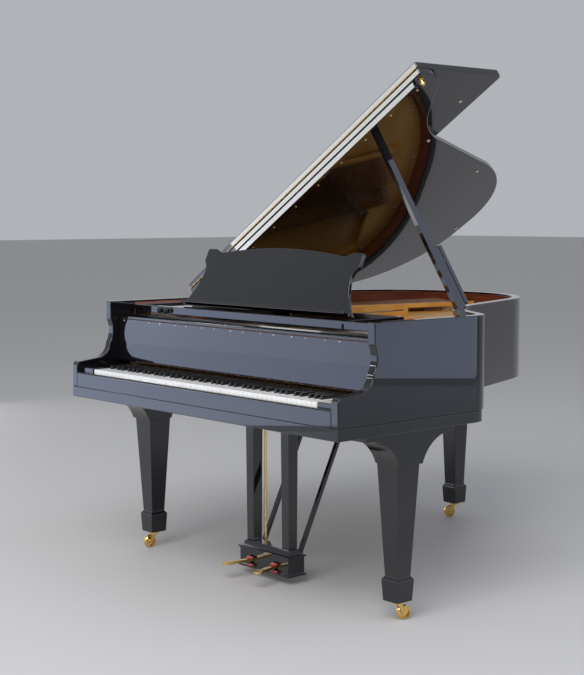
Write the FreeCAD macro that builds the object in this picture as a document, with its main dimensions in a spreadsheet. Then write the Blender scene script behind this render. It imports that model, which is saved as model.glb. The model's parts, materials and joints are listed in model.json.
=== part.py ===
import FreeCAD, Part
import math
import os

import Sketcher
from FreeCAD import Placement, Rotation, Vector

# A grand piano with its lid up, its front lid folded back and its music desk raised.
# Lengths are millimetres and angles are degrees. X runs from bass to treble, Y from the
# player to the tail and Z up from the floor. Places along Y are counted from the front
# of the arms, and the finished pieces are shifted so that the origin lies on the floor
# under the middle of the room that the open piano fills.

SIZES = {
    # Case
    "case_width": 1460,
    "origin_to_front": 840,
    "origin_to_middle": 17,
    "keybed_underside": 610,
    "keybed_thickness": 38,
    "keybed_depth": 648,
    "rim_height": 311,
    "rim_thickness": 32,
    "inner_rim_thickness": 50,
    "inner_rim_height": 210,
    "lining_thickness": 4,
    "lining_height": 64,
    "treble_side_length": 603,
    "treble_corner_radius": 112,
    "treble_corner_turn": 60,
    "treble_run": 141,
    "waist_radius": 430,
    "waist_turn": 40,
    "bent_run": 420,
    "tail_radius": 437,
    "tail_flat": 100,
    # Arms
    "arm_post_depth": 151,
    "arm_post_height": 66,
    "arm_face_hollow": 10,
    "arm_scoop_depth": 52,
    "arm_scoop_height": 52,
    "arm_top_height": 102,
    "arm_top_fall": 9,
    "arm_nose": 16,
    # Belly, soundboard and strings
    "belly_rail_front": 520,
    "belly_rail_thickness": 46,
    "brace_width": 60,
    "brace_height": 96,
    "soundboard_thickness": 9,
    "rib_width": 24,
    "rib_height": 20,
    "rib_spacing": 132,
    "bridge_width": 30,
    "bridge_overlap": 7,
    "string_gap": 0.3,
    "plate_inset": 40,
    "plate_sole": 21,
    "plate_sole_width": 36,
    "plate_thickness": 10,
    "plate_bar_width": 16,
    "plate_bar_height": 20,
    "plate_bar_lift": 13,
    "plate_bolt_count": 13,
    "bolt_radius": 9,
    "bolt_height": 6,
    "pin_block_front": 262,
    "pin_block_depth": 162,
    "capo_line": 436,
    "capo_width": 10,
    "capo_height": 7,
    "bass_capo_rise": 6,
    "bass_string_rise": 16,
    "string_spread": 4,
    "plain_string": 1.2,
    "wound_string": 3.4,
    "strike_line": 460,
    "break_pitch": 40,
    "bass_break_pitch": 56,
    "string_margin": 10,
    "shortest_string": 105,
    "longest_tenor": 980,
    "longest_bass": 1080,
    "shortest_bass": 960,
    "tenor_slant": 0.10,
    "bass_slant": 0.24,
    "hitch_tail": 46,
    "tuning_pin_side": 5,
    "tuning_pin_height": 17,
    "tuning_pin_row": 300,
    "tuning_pin_step": 38,
    "felt_width": 18,
    "felt_thickness": 4,
    # Keyboard and action
    "key_front": 20,
    "key_top": 69,
    "key_height": 24,
    "key_gap": 0.9,
    "key_length": 410,
    "natural_head": 52,
    "sharp_length": 97,
    "sharp_rise": 12,
    "sharp_share": 0.446,
    "sharp_slope": 6,
    "balance_line": 225,
    "key_seat_gap": 0.3,
    "front_rail_height": 24,
    "frame_rail_width": 46,
    "balance_ridge": 10,
    "frame_slat": 12,
    "hammer_pivot_line": 350,
    "hammer_pivot_height": 174,
    "hammer_reach": 128,
    "hammer_rise": 40,
    "hammer_share": 0.8,
    "hammer_thickness": 18,
    "shank_height": 5,
    "flange_room": 1.2,
    "action_rail_width": 20,
    "bracket_thickness": 10,
    "damper_line": 504,
    "damper_head_depth": 28,
    "damper_head_height": 12,
    "damper_wire": 1.6,
    "damper_gap": 0.5,
    "damper_notes": 68,
    "damper_tray_height": 56,
    "damper_tray_depth": 14,
    "damper_tray_thickness": 15,
    "shift_room": 5,
    # Front of the case
    "key_slip_thickness": 18,
    "key_slip_height": 55,
    "key_slip_round": 7,
    "cheek_height": 72,
    "cheek_width": 80.44,
    "cheek_depth": 132,
    "stretcher_front": 238,
    "stretcher_thickness": 22,
    "stretcher_height": 52,
    "fallboard_pivot_line": 188,
    "fallboard_pivot_height": 94,
    "fallboard_thickness": 14,
    "fallboard_length": 151,
    "fallboard_lean": 4,
    "fallboard_side_gap": 2,
    "fallboard_pin_radius": 4,
    "lip_depth": 34,
    "lip_thickness": 10,
    "panel_gap": 0.3,
    # Music desk
    "desk_rail_width": 28,
    "desk_rail_height": 24,
    "desk_rail_length": 338,
    "desk_rail_lift": 12,
    "desk_tray_front": 246,
    "desk_tray_depth": 284,
    "desk_tray_thickness": 12,
    "desk_tray_arm": 46,
    "desk_tray_bar": 26,
    "desk_apron_width": 964,
    "desk_apron_end": 144,
    "desk_apron_seam": 6,
    "desk_apron_height": 28,
    "desk_apron_thickness": 12,
    "desk_shelf_width": 960,
    "desk_line": 320,
    "desk_lean": 24.7,
    "desk_height": 234,
    "desk_bottom_width": 918,
    "desk_waist_width": 788,
    "desk_waist_height": 125,
    "desk_top_width": 834,
    "desk_ear_width": 50,
    "desk_ear_height": 225,
    "desk_ear_root": 174,
    "desk_ear_round": 8,
    "desk_crest_width": 660,
    "desk_crest_shoulder": 211,
    "desk_thickness": 13,
    "desk_ledge_depth": 26,
    "desk_ledge_thickness": 10,
    "desk_back_offset": 3,
    "desk_strut_place": 95,
    "desk_strut_width": 90,
    "desk_strut_thickness": 6,
    # Lid
    "lid_thickness": 24,
    "lid_overhang": 6,
    "lid_rest_gap": 5,
    "lid_front": 562,
    "lid_angle": 31.8,
    "lid_hinge_offset": 7,
    "lid_hinge_radius": 7,
    "lid_hinge_length": 90,
    "lid_hinge_leaf": 3,
    "lid_hinge_leaf_height": 34,
    "flap_depth": 425,
    "flap_hinge_gap": 3,
    "flap_hinge_radius": 2.6,
    "batten_inset": 40,
    "batten_offset": 3,
    "batten_width": 18,
    "batten_height": 22,
    "prop_from_side": 75,
    "prop_pivot_y": 628,
    "prop_pivot_above_plate": 46,
    "prop_top_along_lid": 1172,
    "prop_top_y": 606,
    "prop_top_gap": 0.75,
    "prop_width": 26,
    "prop_thickness": 20,
    "prop_foot_radius": 13,
    "prop_pin_radius": 4,
    "prop_pin_clearance": 0.05,
    "prop_ear_thickness": 5,
    "prop_stow_heading": 160,
    "short_prop_pivot": 262,
    "short_prop_width": 11,
    "short_prop_thickness": 14,
    "short_prop_slot": 3,
    "short_prop_foot": 34,
    "prop_block_width": 44,
    # Legs and castors
    "leg_from_side": 65,
    "leg_y": 318,
    "tail_leg_from_bass": 460,
    "tail_leg_y": 1600,
    "tail_leg_head": 130,
    "tail_column_width": 90,
    "castor_height": 62,
    "leg_block_height": 70,
    "leg_block_width": 74,
    "leg_block_foot": 66,
    "leg_cap_height": 10,
    "leg_foot_width": 58,
    "leg_column_width": 95,
    "leg_bracket_length": 388,
    "leg_bracket_drop": 106,
    "leg_bracket_end": 16,
    "leg_bracket_neck": 104,
    "leg_bracket_width": 108,
    "leg_bracket_out": 58,
    "castor_wheel_radius": 24,
    "castor_wheel_width": 17,
    "castor_axle_radius": 4,
    "castor_trail": 20,
    "castor_stem_radius": 6,
    "castor_clearance": 0.05,
    "castor_socket_radius": 21,
    "castor_socket_height": 6,
    "castor_head_radius": 17,
    "castor_head_height": 4,
    "castor_cheek": 3.5,
    "castor_side_gap": 0.5,
    "castor_turn_bass": 265,
    "castor_turn_treble": 69,
    "castor_turn_tail": 229,
    # Lyre and pedals
    "lyre_middle": 356,
    "lyre_top_width": 300,
    "lyre_top_depth": 66,
    "lyre_top_height": 26,
    "pillar_spacing": 192,
    "pillar_top": 44,
    "pillar_foot": 38,
    "pedal_box_lift": 29,
    "pedal_box_width": 264,
    "pedal_box_depth": 74,
    "pedal_box_height": 58,
    "pedal_base_height": 8,
    "pedal_cap_height": 7,
    "pedal_box_moulding": 5,
    "plinth_height": 19,
    "plinth_width": 252,
    "plinth_depth": 62,
    "plinth_chamfer": 8,
    "pedal_spacing": 132,
    "pedal_height": 54,
    "pedal_thickness": 9,
    "pedal_width": 18,
    "pedal_toe_width": 32,
    "pedal_toe_length": 54,
    "pedal_reach": 112,
    "pedal_splay": 12,
    "pedal_slot_room": 12,
    "pedal_side_gap": 0.6,
    "pedal_pivot_back": 33,
    "rod_radius": 4.5,
    "rod_hole_gap": 2,
    "rod_back": 27,
    "rod_seat_gap": 0.3,
    "rod_top": 6,
    "brace_stick": 15,
    "brace_stick_x": 100,
    "brace_stick_run": 246,
}

doc = FreeCAD.newDocument("grand_piano")
sheet = doc.addObject("Spreadsheet::Sheet", "sizes")
for row, (alias, value) in enumerate(SIZES.items(), start=1):
    sheet.set(f"A{row}", alias)
    sheet.set(f"B{row}", str(value))
    sheet.setAlias(f"B{row}", alias)
doc.recompute()


class SheetReader:
    """Gives each cell of the sheet by its alias, as a plain number."""

    def __getattr__(self, alias):
        return float(sheet.get(alias))


size = SheetReader()
pieces = []
SHIFT = Vector(size.origin_to_middle, -size.origin_to_front, 0)

# Levels and lines that several pieces share
RIM_BOTTOM = size.keybed_underside + size.keybed_thickness
RIM_TOP = RIM_BOTTOM + size.rim_height
INNER_TOP = RIM_BOTTOM + size.inner_rim_height
BOARD_TOP = INNER_TOP + size.soundboard_thickness
PLATE_BOTTOM = BOARD_TOP + size.plate_sole
PLATE_TOP = PLATE_BOTTOM + size.plate_thickness
STRING_BED = PLATE_TOP + size.capo_height
KEY_TOP = RIM_BOTTOM + size.key_top
KEY_BOTTOM = KEY_TOP - size.key_height
HALF = size.case_width / 2
INNER_HALF = HALF - size.rim_thickness
BELLY_HALF = INNER_HALF - size.inner_rim_thickness
KEYBOARD_HALF = INNER_HALF - size.cheek_width - size.shift_room
NATURALS = 52
NOTES = 88
BREAKS = (37, 54, 71)
BASS_NOTES = 20
SINGLE_NOTES = 8
KEY_PITCH = 2 * KEYBOARD_HALF / NATURALS
STRING_SPAN = 2 * (KEYBOARD_HALF - size.string_margin)
PLAIN_STEPS = NOTES - 1 - len(BREAKS) - 1
NOTE_PITCH = (STRING_SPAN - len(BREAKS) * size.break_pitch - size.bass_break_pitch) / PLAIN_STEPS
LEG_X_EXPR = "(sizes.case_width / 2 - sizes.leg_from_side)"
TAIL_LEG_X_EXPR = "(sizes.tail_leg_from_bass - sizes.case_width / 2)"
TRAY_BOTTOM_EXPR = (
    "sizes.keybed_underside + sizes.keybed_thickness + sizes.inner_rim_height"
    " + sizes.soundboard_thickness + sizes.plate_sole + sizes.plate_thickness"
    " + sizes.desk_rail_lift + sizes.desk_rail_height"
)
RIM_BOTTOM_EXPR = "(sizes.keybed_underside + sizes.keybed_thickness)"
INNER_TOP_EXPR = f"({RIM_BOTTOM_EXPR} + sizes.inner_rim_height)"
INNER_HALF_EXPR = "(sizes.case_width / 2 - sizes.rim_thickness)"
BELLY_HALF_EXPR = f"({INNER_HALF_EXPR} - sizes.inner_rim_thickness)"


def keep(obj, name):
    """Names a finished piece, which is written to a file of that name."""
    obj.Label = name
    pieces.append(obj)
    return obj


def formed(name, shape):
    """A piece whose shape is worked out here from the sheet."""
    obj = doc.addObject("Part::Feature", name)
    obj.Shape = shape
    obj.Placement = Placement(SHIFT, Rotation()).multiply(shape.Placement)
    return keep(obj, name)


def block(name, start, extent):
    """A box bound to the sheet: its low corner and its extent, as expressions."""
    obj = doc.addObject("Part::Box", name)
    for prop, text in zip(("Length", "Width", "Height"), extent):
        obj.setExpression(prop, text)
    obj.setExpression("Placement.Base.x", f"{start[0]} + sizes.origin_to_middle")
    obj.setExpression("Placement.Base.y", f"{start[1]} - sizes.origin_to_front")
    obj.setExpression("Placement.Base.z", start[2])
    return obj


def round_bar(name, radius, height, place):
    """An upright cylinder bound to the sheet."""
    obj = doc.addObject("Part::Cylinder", name)
    obj.setExpression("Radius", radius)
    obj.setExpression("Height", height)
    obj.setExpression("Placement.Base.x", f"{place[0]} + sizes.origin_to_middle")
    obj.setExpression("Placement.Base.y", f"{place[1]} - sizes.origin_to_front")
    obj.setExpression("Placement.Base.z", place[2])
    return obj


def grouped(name, objects):
    """A group of separate solids that share one node."""
    result = doc.addObject("Part::Compound", name)
    result.Links = objects
    return result


def new_body(name):
    """A body whose sketches are drawn in the case's own measure."""
    body = doc.addObject("PartDesign::Body", name)
    body.Placement = Placement(SHIFT, Rotation())
    return body


def counter_clockwise(start, via, end):
    """The arc through three level points, always drawn counter-clockwise."""
    circle = Part.Arc(start, via, end).toShape().Curve
    middle = circle.Center
    if (via - start).cross(end - via).z < 0:
        start, end = end, start
    begin = math.atan2(start.y - middle.y, start.x - middle.x)
    finish = math.atan2(end.y - middle.y, end.x - middle.x)
    if finish < begin:
        finish += 2 * math.pi
    return Part.ArcOfCircle(Part.Circle(middle, Vector(0, 0, 1), circle.Radius), begin, finish)


def outline(body, name, plane, corners, lift="0", bends=()):
    """A closed sketch on an origin plane, every corner bound to the sheet.

    Corners are pairs of expressions. bends maps a corner's number to the point that
    the arc from it to the next corner passes through.
    """
    sketch = body.newObject("Sketcher::SketchObject", name)
    origin = [f for f in body.Origin.OriginFeatures if f.Role == plane][0]
    sketch.AttachmentSupport = [(origin, "")]
    sketch.MapMode = "FlatFace"
    sketch.setExpression("AttachmentOffset.Base.z", lift)
    spots = [Vector(*[float(sheet.evalExpression(t.replace("sizes.", ""))) for t in c], 0)
             for c in corners]
    bends = dict(bends)
    count = len(spots)
    ends = []
    for i, spot in enumerate(spots):
        after = spots[(i + 1) % count]
        if i in bends:
            via = Vector(*[float(sheet.evalExpression(t.replace("sizes.", ""))) for t in bends[i]], 0)
            edge = counter_clockwise(spot, via, after)
        else:
            edge = Part.LineSegment(spot, after)
        ends.append((1, 2) if (edge.StartPoint - spot).Length < 1e-6 else (2, 1))
        sketch.addGeometry(edge, False)
    for i in range(count):
        j = (i + 1) % count
        sketch.addConstraint(Sketcher.Constraint("Coincident", i, ends[i][1], j, ends[j][0]))
    for i, corner in enumerate(corners):
        for kind, text, at in zip(("DistanceX", "DistanceY"), corner, spots[i]):
            number = sketch.addConstraint(Sketcher.Constraint(kind, -1, 1, i, ends[i][0], at))
            sketch.setExpression(f"Constraints[{number}]", text)
    for i in bends:
        radius = sketch.Geometry[i].Radius
        sketch.addConstraint(Sketcher.Constraint("Radius", i, radius))
    return sketch


def rectangle(body, name, wide, deep, lift, middle=("0", "0")):
    """A level rectangle about a middle point."""
    x, y = middle
    corners = [(f"{x} - {wide} / 2", f"{y} - {deep} / 2"), (f"{x} + {wide} / 2", f"{y} - {deep} / 2"),
               (f"{x} + {wide} / 2", f"{y} + {deep} / 2"), (f"{x} - {wide} / 2", f"{y} + {deep} / 2")]
    return outline(body, name, "XY_Plane", corners, lift)


def padded(body, name, sketch, length):
    """A pad of a sketch, its length bound to the sheet."""
    pad = body.newObject("PartDesign::Pad", name)
    pad.Profile = sketch
    pad.setExpression("Length", length)
    return pad


def tapered(maker, kind, name, low, high, rise, place):
    """A level block whose four sides slope from its low to its high width and depth."""
    wedge = maker(kind, name)
    for prop, text in zip(("X", "Z"), low):
        wedge.setExpression(f"{prop}min", f"-{text} / 2")
        wedge.setExpression(f"{prop}max", f"{text} / 2")
    for prop, text in zip(("X2", "Z2"), high):
        wedge.setExpression(f"{prop}min", f"-{text} / 2")
        wedge.setExpression(f"{prop}max", f"{text} / 2")
    wedge.setExpression("Ymin", "0")
    wedge.setExpression("Ymax", rise)
    wedge.Placement = Placement(Vector(), Rotation(Vector(1, 0, 0), 90))
    for prop, text in zip("xyz", place):
        wedge.setExpression(f"Placement.Base.{prop}", text)
    return wedge


def box_between(low, high):
    """A plain box shape from its two corners."""
    return Part.makeBox(high[0] - low[0], high[1] - low[1], high[2] - low[2], Vector(*low))


def prism(points, along):
    """A straight prism over a closed outline of corner points."""
    loop = Part.makePolygon(points + points[:1])
    return Part.Face(loop).extrude(along)


def polar(angle, radius=1.0):
    """A level vector at an angle in degrees from +X."""
    return Vector(radius * math.cos(math.radians(angle)), radius * math.sin(math.radians(angle)), 0)


def case_plan():
    """Centres, headings and radii of the case's outline, walked from treble to bass."""
    first = 90 + size.treble_corner_turn
    second = first - size.waist_turn
    corner = Vector(HALF - size.treble_corner_radius, size.treble_side_length, 0)
    corner_end = corner + polar(size.treble_corner_turn, size.treble_corner_radius)
    run_end = corner_end + polar(first, size.treble_run)
    waist = run_end + polar(first - 90, size.waist_radius)
    bent_start = waist + polar(second + 90, size.waist_radius)
    tail = bent_start + polar(second, size.bent_run) + polar(second + 90, size.tail_radius)
    bass_radius = tail.x - size.tail_flat + HALF
    bass = Vector(tail.x - size.tail_flat, tail.y + size.tail_radius - bass_radius, 0)
    return first, second, corner, waist, tail, bass, bass_radius


def case_edges(inset, front):
    """The outline's edges, drawn inwards by inset, from the treble front to the bass front."""
    first, second, corner, waist, tail, bass, bass_radius = case_plan()
    arcs = [
        (corner, size.treble_corner_radius - inset, 0, size.treble_corner_turn),
        (waist, size.waist_radius + inset, first + 90, second + 90),
        (tail, size.tail_radius - inset, second - 90, 90),
        (bass, bass_radius - inset, 90, 180),
    ]
    edges = []
    here = Vector(HALF - inset, front, 0)
    for centre, radius, begin, end in arcs:
        start = centre + polar(begin, radius)
        middle = centre + polar((begin + end) / 2, radius)
        finish = centre + polar(end, radius)
        edges.append(Part.LineSegment(here, start).toShape())
        edges.append(Part.Arc(start, middle, finish).toShape())
        here = finish
    edges.append(Part.LineSegment(here, Vector(inset - HALF, front, 0)).toShape())
    return edges


def case_slab(inset, front, low, high):
    """A level board of the case's outline, cut straight across at the front."""
    edges = case_edges(inset, front)
    edges.append(Part.LineSegment(Vector(inset - HALF, front, 0), Vector(HALF - inset, front, 0)).toShape())
    face = Part.Face(Part.Wire(edges))
    face.translate(Vector(0, 0, low))
    return face.extrude(Vector(0, 0, high - low))


def case_band(outer, inner, front, low, high):
    """An upright band that follows the case's outline and is open at the front."""
    return case_slab(outer, front, low, high).cut(case_slab(inner, front, low, high))


def arm_clearance():
    """What is cut from the rim's sides above the arms, as seen from the side."""
    post = size.arm_post_depth
    ledge = RIM_TOP - size.arm_post_height
    top = RIM_BOTTOM + size.arm_top_height
    scoop = Vector(0, post - 4, top + size.arm_scoop_height)
    flat = Vector(0, post - 4 - size.arm_scoop_depth, top)
    nose_top = Vector(0, size.arm_nose, top - size.arm_top_fall)
    nose = Vector(0, 0, top - size.arm_top_fall - size.arm_nose)
    face = Vector(0, post + size.arm_face_hollow, (ledge + scoop.z) / 2)
    blend = Vector(0, flat.y + 0.72 * size.arm_scoop_depth, flat.z + 0.34 * size.arm_scoop_height)
    round_off = Vector(0, 0.29 * size.arm_nose, nose.z + 0.71 * size.arm_nose)
    above = RIM_TOP + size.rim_thickness
    before = -size.rim_thickness
    edges = [
        Part.LineSegment(Vector(0, post, above), Vector(0, post, ledge)),
        Part.Arc(Vector(0, post, ledge), face, scoop),
        Part.Arc(scoop, blend, flat),
        Part.LineSegment(flat, nose_top),
        Part.Arc(nose_top, round_off, nose),
        Part.LineSegment(nose, Vector(0, before, nose.z)),
        Part.LineSegment(Vector(0, before, nose.z), Vector(0, before, above)),
        Part.LineSegment(Vector(0, before, above), Vector(0, post, above)),
    ]
    face_shape = Part.Face(Part.Wire([e.toShape() for e in edges]))
    face_shape.translate(Vector(-size.case_width, 0, 0))
    return face_shape.extrude(Vector(2 * size.case_width, 0, 0))


def many_sided(centre, radius, sides, height):
    """An upright prism round a circle of that radius, for holes and plain round heads."""
    corner = radius / math.cos(math.pi / sides)
    turn = 360 / sides
    return prism([centre + polar(turn * (i + 0.5), corner) for i in range(sides)], Vector(0, 0, height))


def rod_holes(low, high):
    """The two holes through which the pedal rods pass."""
    radius = size.rod_radius + size.rod_hole_gap
    y = size.lyre_middle + size.rod_back
    return Part.makeCompound([
        many_sided(Vector(sign * size.pedal_spacing / 2, y, low), radius, 8, high - low) for sign in (-1, 1)])


def make_case():
    """Rim, lining, inner rim, keybed, rails and the boards at the front."""
    rim = case_band(0, size.rim_thickness, 0, RIM_BOTTOM, RIM_TOP)
    formed("outer_rim", rim.cut(arm_clearance()))
    inner = size.rim_thickness + size.inner_rim_thickness
    formed("inner_rim", case_band(size.rim_thickness, inner, size.stretcher_front, RIM_BOTTOM, INNER_TOP))
    lining = size.rim_thickness + size.lining_thickness
    back_of_stretcher = size.stretcher_front + size.stretcher_thickness
    formed("rim_lining", case_band(size.rim_thickness, lining, back_of_stretcher, PLATE_BOTTOM,
                                   PLATE_BOTTOM + size.lining_height))

    bed = case_slab(0, 0, size.keybed_underside, RIM_BOTTOM)
    bed = bed.common(box_between((-HALF, 0, size.keybed_underside), (HALF, size.keybed_depth, RIM_BOTTOM)))
    formed("keybed", bed.cut(rod_holes(size.keybed_underside, RIM_BOTTOM)))

    keep(block("belly_rail", (f"-{BELLY_HALF_EXPR}", "sizes.belly_rail_front", RIM_BOTTOM_EXPR),
               (f"2 * {BELLY_HALF_EXPR}", "sizes.belly_rail_thickness", "sizes.inner_rim_height")),
         "belly_rail")
    keep(block("pin_block", (f"-{INNER_HALF_EXPR}", "sizes.pin_block_front", INNER_TOP_EXPR),
               (f"2 * {INNER_HALF_EXPR}", "sizes.pin_block_depth",
                "sizes.soundboard_thickness + sizes.plate_sole")), "pin_block")
    keep(block("stretcher", (f"-{INNER_HALF_EXPR}", "sizes.stretcher_front", INNER_TOP_EXPR),
               (f"2 * {INNER_HALF_EXPR}", "sizes.stretcher_thickness", "sizes.stretcher_height")),
         "stretcher")

    cheeks = [block(f"cheek_{side}", (start, "sizes.key_slip_thickness", RIM_BOTTOM_EXPR),
                    ("sizes.cheek_width", "sizes.cheek_depth", "sizes.cheek_height"))
              for side, start in (("bass", f"-{INNER_HALF_EXPR}"),
                                  ("treble", f"{INNER_HALF_EXPR} - sizes.cheek_width"))]
    keep(grouped("cheek_blocks", cheeks), "cheek_blocks")

    body = new_body("key_slip")
    top = f"{RIM_BOTTOM_EXPR} + sizes.key_slip_height"
    bead = f"{top} - sizes.key_slip_round"
    side = outline(body, "key_slip_side", "YZ_Plane",
                   [("0", RIM_BOTTOM_EXPR), ("sizes.key_slip_thickness", RIM_BOTTOM_EXPR),
                    ("sizes.key_slip_thickness", top), ("sizes.key_slip_round", top), ("0", bead)],
                   f"-{INNER_HALF_EXPR}",
                   {3: ("0.293 * sizes.key_slip_round", f"{top} - 0.293 * sizes.key_slip_round")})
    padded(body, "key_slip_board", side, f"2 * {INNER_HALF_EXPR}")
    keep(body, "key_slip")


def inside_case(low, high):
    """The room inside the inner rim, behind the belly rail."""
    inset = size.rim_thickness + size.inner_rim_thickness
    front = size.belly_rail_front + size.belly_rail_thickness
    return case_slab(inset, front, low, high)


def make_belly():
    """Soundboard, its ribs and the beams under it."""
    formed("soundboard", case_slab(size.rim_thickness, size.belly_rail_front, INNER_TOP, BOARD_TOP))

    room = inside_case(INNER_TOP - size.rib_height, INNER_TOP)
    reach = 2 * size.case_width
    bar = box_between((-reach, -size.rib_width / 2, INNER_TOP - size.rib_height),
                      (reach, size.rib_width / 2, INNER_TOP))
    ribs = []
    for number in range(9):
        rib = bar.copy()
        across = Vector(0.1 * HALF, size.belly_rail_front, 0) + polar(42, (number + 0.9) * size.rib_spacing)
        rib.Placement = Placement(across + Vector(-0.55 * HALF, 0, 0), Rotation(Vector(0, 0, 1), -48))
        ribs += rib.common(room).Solids
    formed("soundboard_ribs", Part.makeCompound(ribs))

    room = inside_case(RIM_BOTTOM, RIM_BOTTOM + size.brace_height)
    start = size.belly_rail_front + size.belly_rail_thickness
    braces = []
    for x, heading in ((-0.62 * HALF, 86), (-0.06 * HALF, 98), (0.52 * HALF, 115)):
        beam = box_between((-size.brace_width, -size.brace_width / 2, RIM_BOTTOM),
                           (reach, size.brace_width / 2, RIM_BOTTOM + size.brace_height))
        beam.Placement = Placement(Vector(x, start, 0), Rotation(Vector(0, 0, 1), heading))
        braces += beam.common(room).Solids
    formed("case_braces", Part.makeCompound(braces))


def note_x(note):
    """Where a note's strings cross the strike line, with a wider step at each break."""
    breaks = sum(note > last for last in BREAKS)
    bass_break = int(note > BASS_NOTES)
    plain_steps = note - 1 - breaks - bass_break
    return (-STRING_SPAN / 2 + plain_steps * NOTE_PITCH + breaks * size.break_pitch
            + bass_break * size.bass_break_pitch)


def treble_share(note):
    """From 0 at the top note to 1 at the lowest note of the long bridge."""
    return (NOTES - note) / (NOTES - BASS_NOTES - 1)


def speaking_length(note):
    """Length from the capo bar to the bridge."""
    if note <= BASS_NOTES:
        return size.longest_bass + (size.shortest_bass - size.longest_bass) * (note - 1) / (BASS_NOTES - 1)
    share = treble_share(note) ** 1.9
    return size.shortest_string + (size.longest_tenor - size.shortest_string) * share


def slant(note):
    """How far a string leans towards the treble for each unit of its length."""
    if note <= BASS_NOTES:
        return size.bass_slant
    return -size.tenor_slant * treble_share(note)


def string_point(note, y, across=0.0):
    """The point of a note's string line at a place along Y."""
    return Vector(note_x(note) + across + slant(note) * (y - size.strike_line), y, 0)


def string_height(note, y):
    """Height of the underside of a note's strings."""
    base = STRING_BED + size.string_gap
    if note > BASS_NOTES:
        return base
    along = (y - size.capo_line) / size.longest_bass
    return base + size.bass_capo_rise + size.bass_string_rise * along


def strings_of(note):
    """Sideways places of the strings of one note."""
    if note <= SINGLE_NOTES:
        return [0.0]
    if note <= BASS_NOTES:
        return [-NOTE_PITCH / 4, NOTE_PITCH / 4]
    return [-size.string_spread, 0.0, size.string_spread]


def string_bar(note, across, thick, sides):
    """One straight string, from its tuning pin to its hitch, as a prism of few sides."""
    row = strings_of(note).index(across)
    near = size.tuning_pin_row + row * size.tuning_pin_step + size.tuning_pin_side / 2 + size.string_gap
    far = size.capo_line + speaking_length(note) + size.hitch_tail
    start = string_point(note, near, across)
    end = string_point(note, far, across)
    start.z = string_height(note, near)
    end.z = string_height(note, far)
    turn = 360 / sides
    flat = math.cos(math.radians(turn / 2))
    corner = thick / (2 * flat if sides % 2 == 0 else 1 + flat)
    ring = [polar(turn * i - 90 - turn / 2, corner) for i in range(sides)]
    low = min(p.y for p in ring)
    points = [start + Vector(p.x, 0, p.y - low) for p in ring]
    return prism(points, end - start)


def tuning_pin(note, across):
    """A square pin standing on the plate in line with its string."""
    row = strings_of(note).index(across)
    foot = string_point(note, size.tuning_pin_row + row * size.tuning_pin_step, across)
    reach = size.tuning_pin_side / 2
    return box_between((foot.x - reach, foot.y - reach, PLATE_TOP),
                       (foot.x + reach, foot.y + reach, PLATE_TOP + size.tuning_pin_height))


def bridge_line(notes, shift=0.0):
    """The line where the strings of some notes cross their bridge."""
    return [string_point(n, size.capo_line + speaking_length(n) + shift) for n in notes]


def bridge_bar(notes, top_at):
    """A bridge on the soundboard that follows the ends of its strings."""
    line = bridge_line(notes)
    line[0] += (line[0] - line[1]).normalize() * size.bridge_overlap
    line[-1] += (line[-1] - line[-2]).normalize() * size.bridge_overlap
    sides = []
    for i, point in enumerate(line):
        before = line[max(i - 1, 0)]
        after = line[min(i + 1, len(line) - 1)]
        along = (after - before).normalize()
        sides.append((point, Vector(-along.y, along.x, 0) * (size.bridge_width / 2)))
    loop = [p + n for p, n in sides] + [p - n for p, n in reversed(sides)]
    face = [p + Vector(0, 0, BOARD_TOP) for p in loop]
    return prism(face, Vector(0, 0, top_at - BOARD_TOP))


LONG_BRIDGE_NOTES = (21, 26, 31, 37, 43, 49, 54, 60, 66, 71, 77, 82, NOTES)
BASS_BRIDGE_NOTES = (1, 7, 14, BASS_NOTES)


def make_strings():
    """Bridges, strings, tuning pins and the felt under the strings."""
    bass_top = string_height(BASS_NOTES, size.capo_line + speaking_length(BASS_NOTES)) - size.string_gap
    formed("string_bridges", Part.makeCompound([
        bridge_bar(LONG_BRIDGE_NOTES, STRING_BED), bridge_bar(BASS_BRIDGE_NOTES, bass_top)]))

    plain = [string_bar(n, a, size.plain_string, 3) for n in range(BASS_NOTES + 1, NOTES + 1)
             for a in strings_of(n)]
    formed("plain_strings", Part.makeCompound(plain))
    wound = [string_bar(n, a, size.wound_string * (1 - 0.02 * n), 4)
             for n in range(1, BASS_NOTES + 1) for a in strings_of(n)]
    formed("wound_strings", Part.makeCompound(wound))
    pins = [tuning_pin(n, a) for n in range(1, NOTES + 1) for a in strings_of(n)]
    formed("tuning_pins", Part.makeCompound(pins))

    felts = []
    for notes in ((38, 43, 49, 54), (55, 60, 66, 71), (72, 77, 82, NOTES)):
        near = bridge_line(notes, size.hitch_tail - size.felt_width)
        far = bridge_line(notes, size.hitch_tail)
        loop = [p + Vector(0, 0, PLATE_TOP) for p in near + far[::-1]]
        felts.append(prism(loop, Vector(0, 0, size.felt_thickness)))
    formed("stringing_felt", Part.makeCompound(felts))


def plate_bar(note, middle, width, rise):
    """A raised bar of the plate along a break, with a foot at each end."""
    near = size.capo_line + size.capo_width / 2
    far = size.capo_line + speaking_length(note) + 2.2 * size.hitch_tail
    start = string_point(note, near, middle)
    end = string_point(note, far, middle)
    along = (end - start).normalize()
    side = Vector(-along.y, along.x, 0) * (width / 2)
    foot = along * size.plate_bar_width
    under = PLATE_TOP + size.plate_bar_lift + rise
    top = under + size.plate_bar_height - rise

    def slab(begin, finish, low, high):
        loop = [begin + side, begin - side, finish - side, finish + side]
        return prism([p + Vector(0, 0, low) for p in loop], Vector(0, 0, high - low))

    bar = slab(start - foot, end + foot, under, top)
    feet = [slab(start - foot, start, PLATE_BOTTOM, under), slab(end, end + foot, PLATE_BOTTOM, under)]
    return bar.multiFuse(feet)


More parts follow.
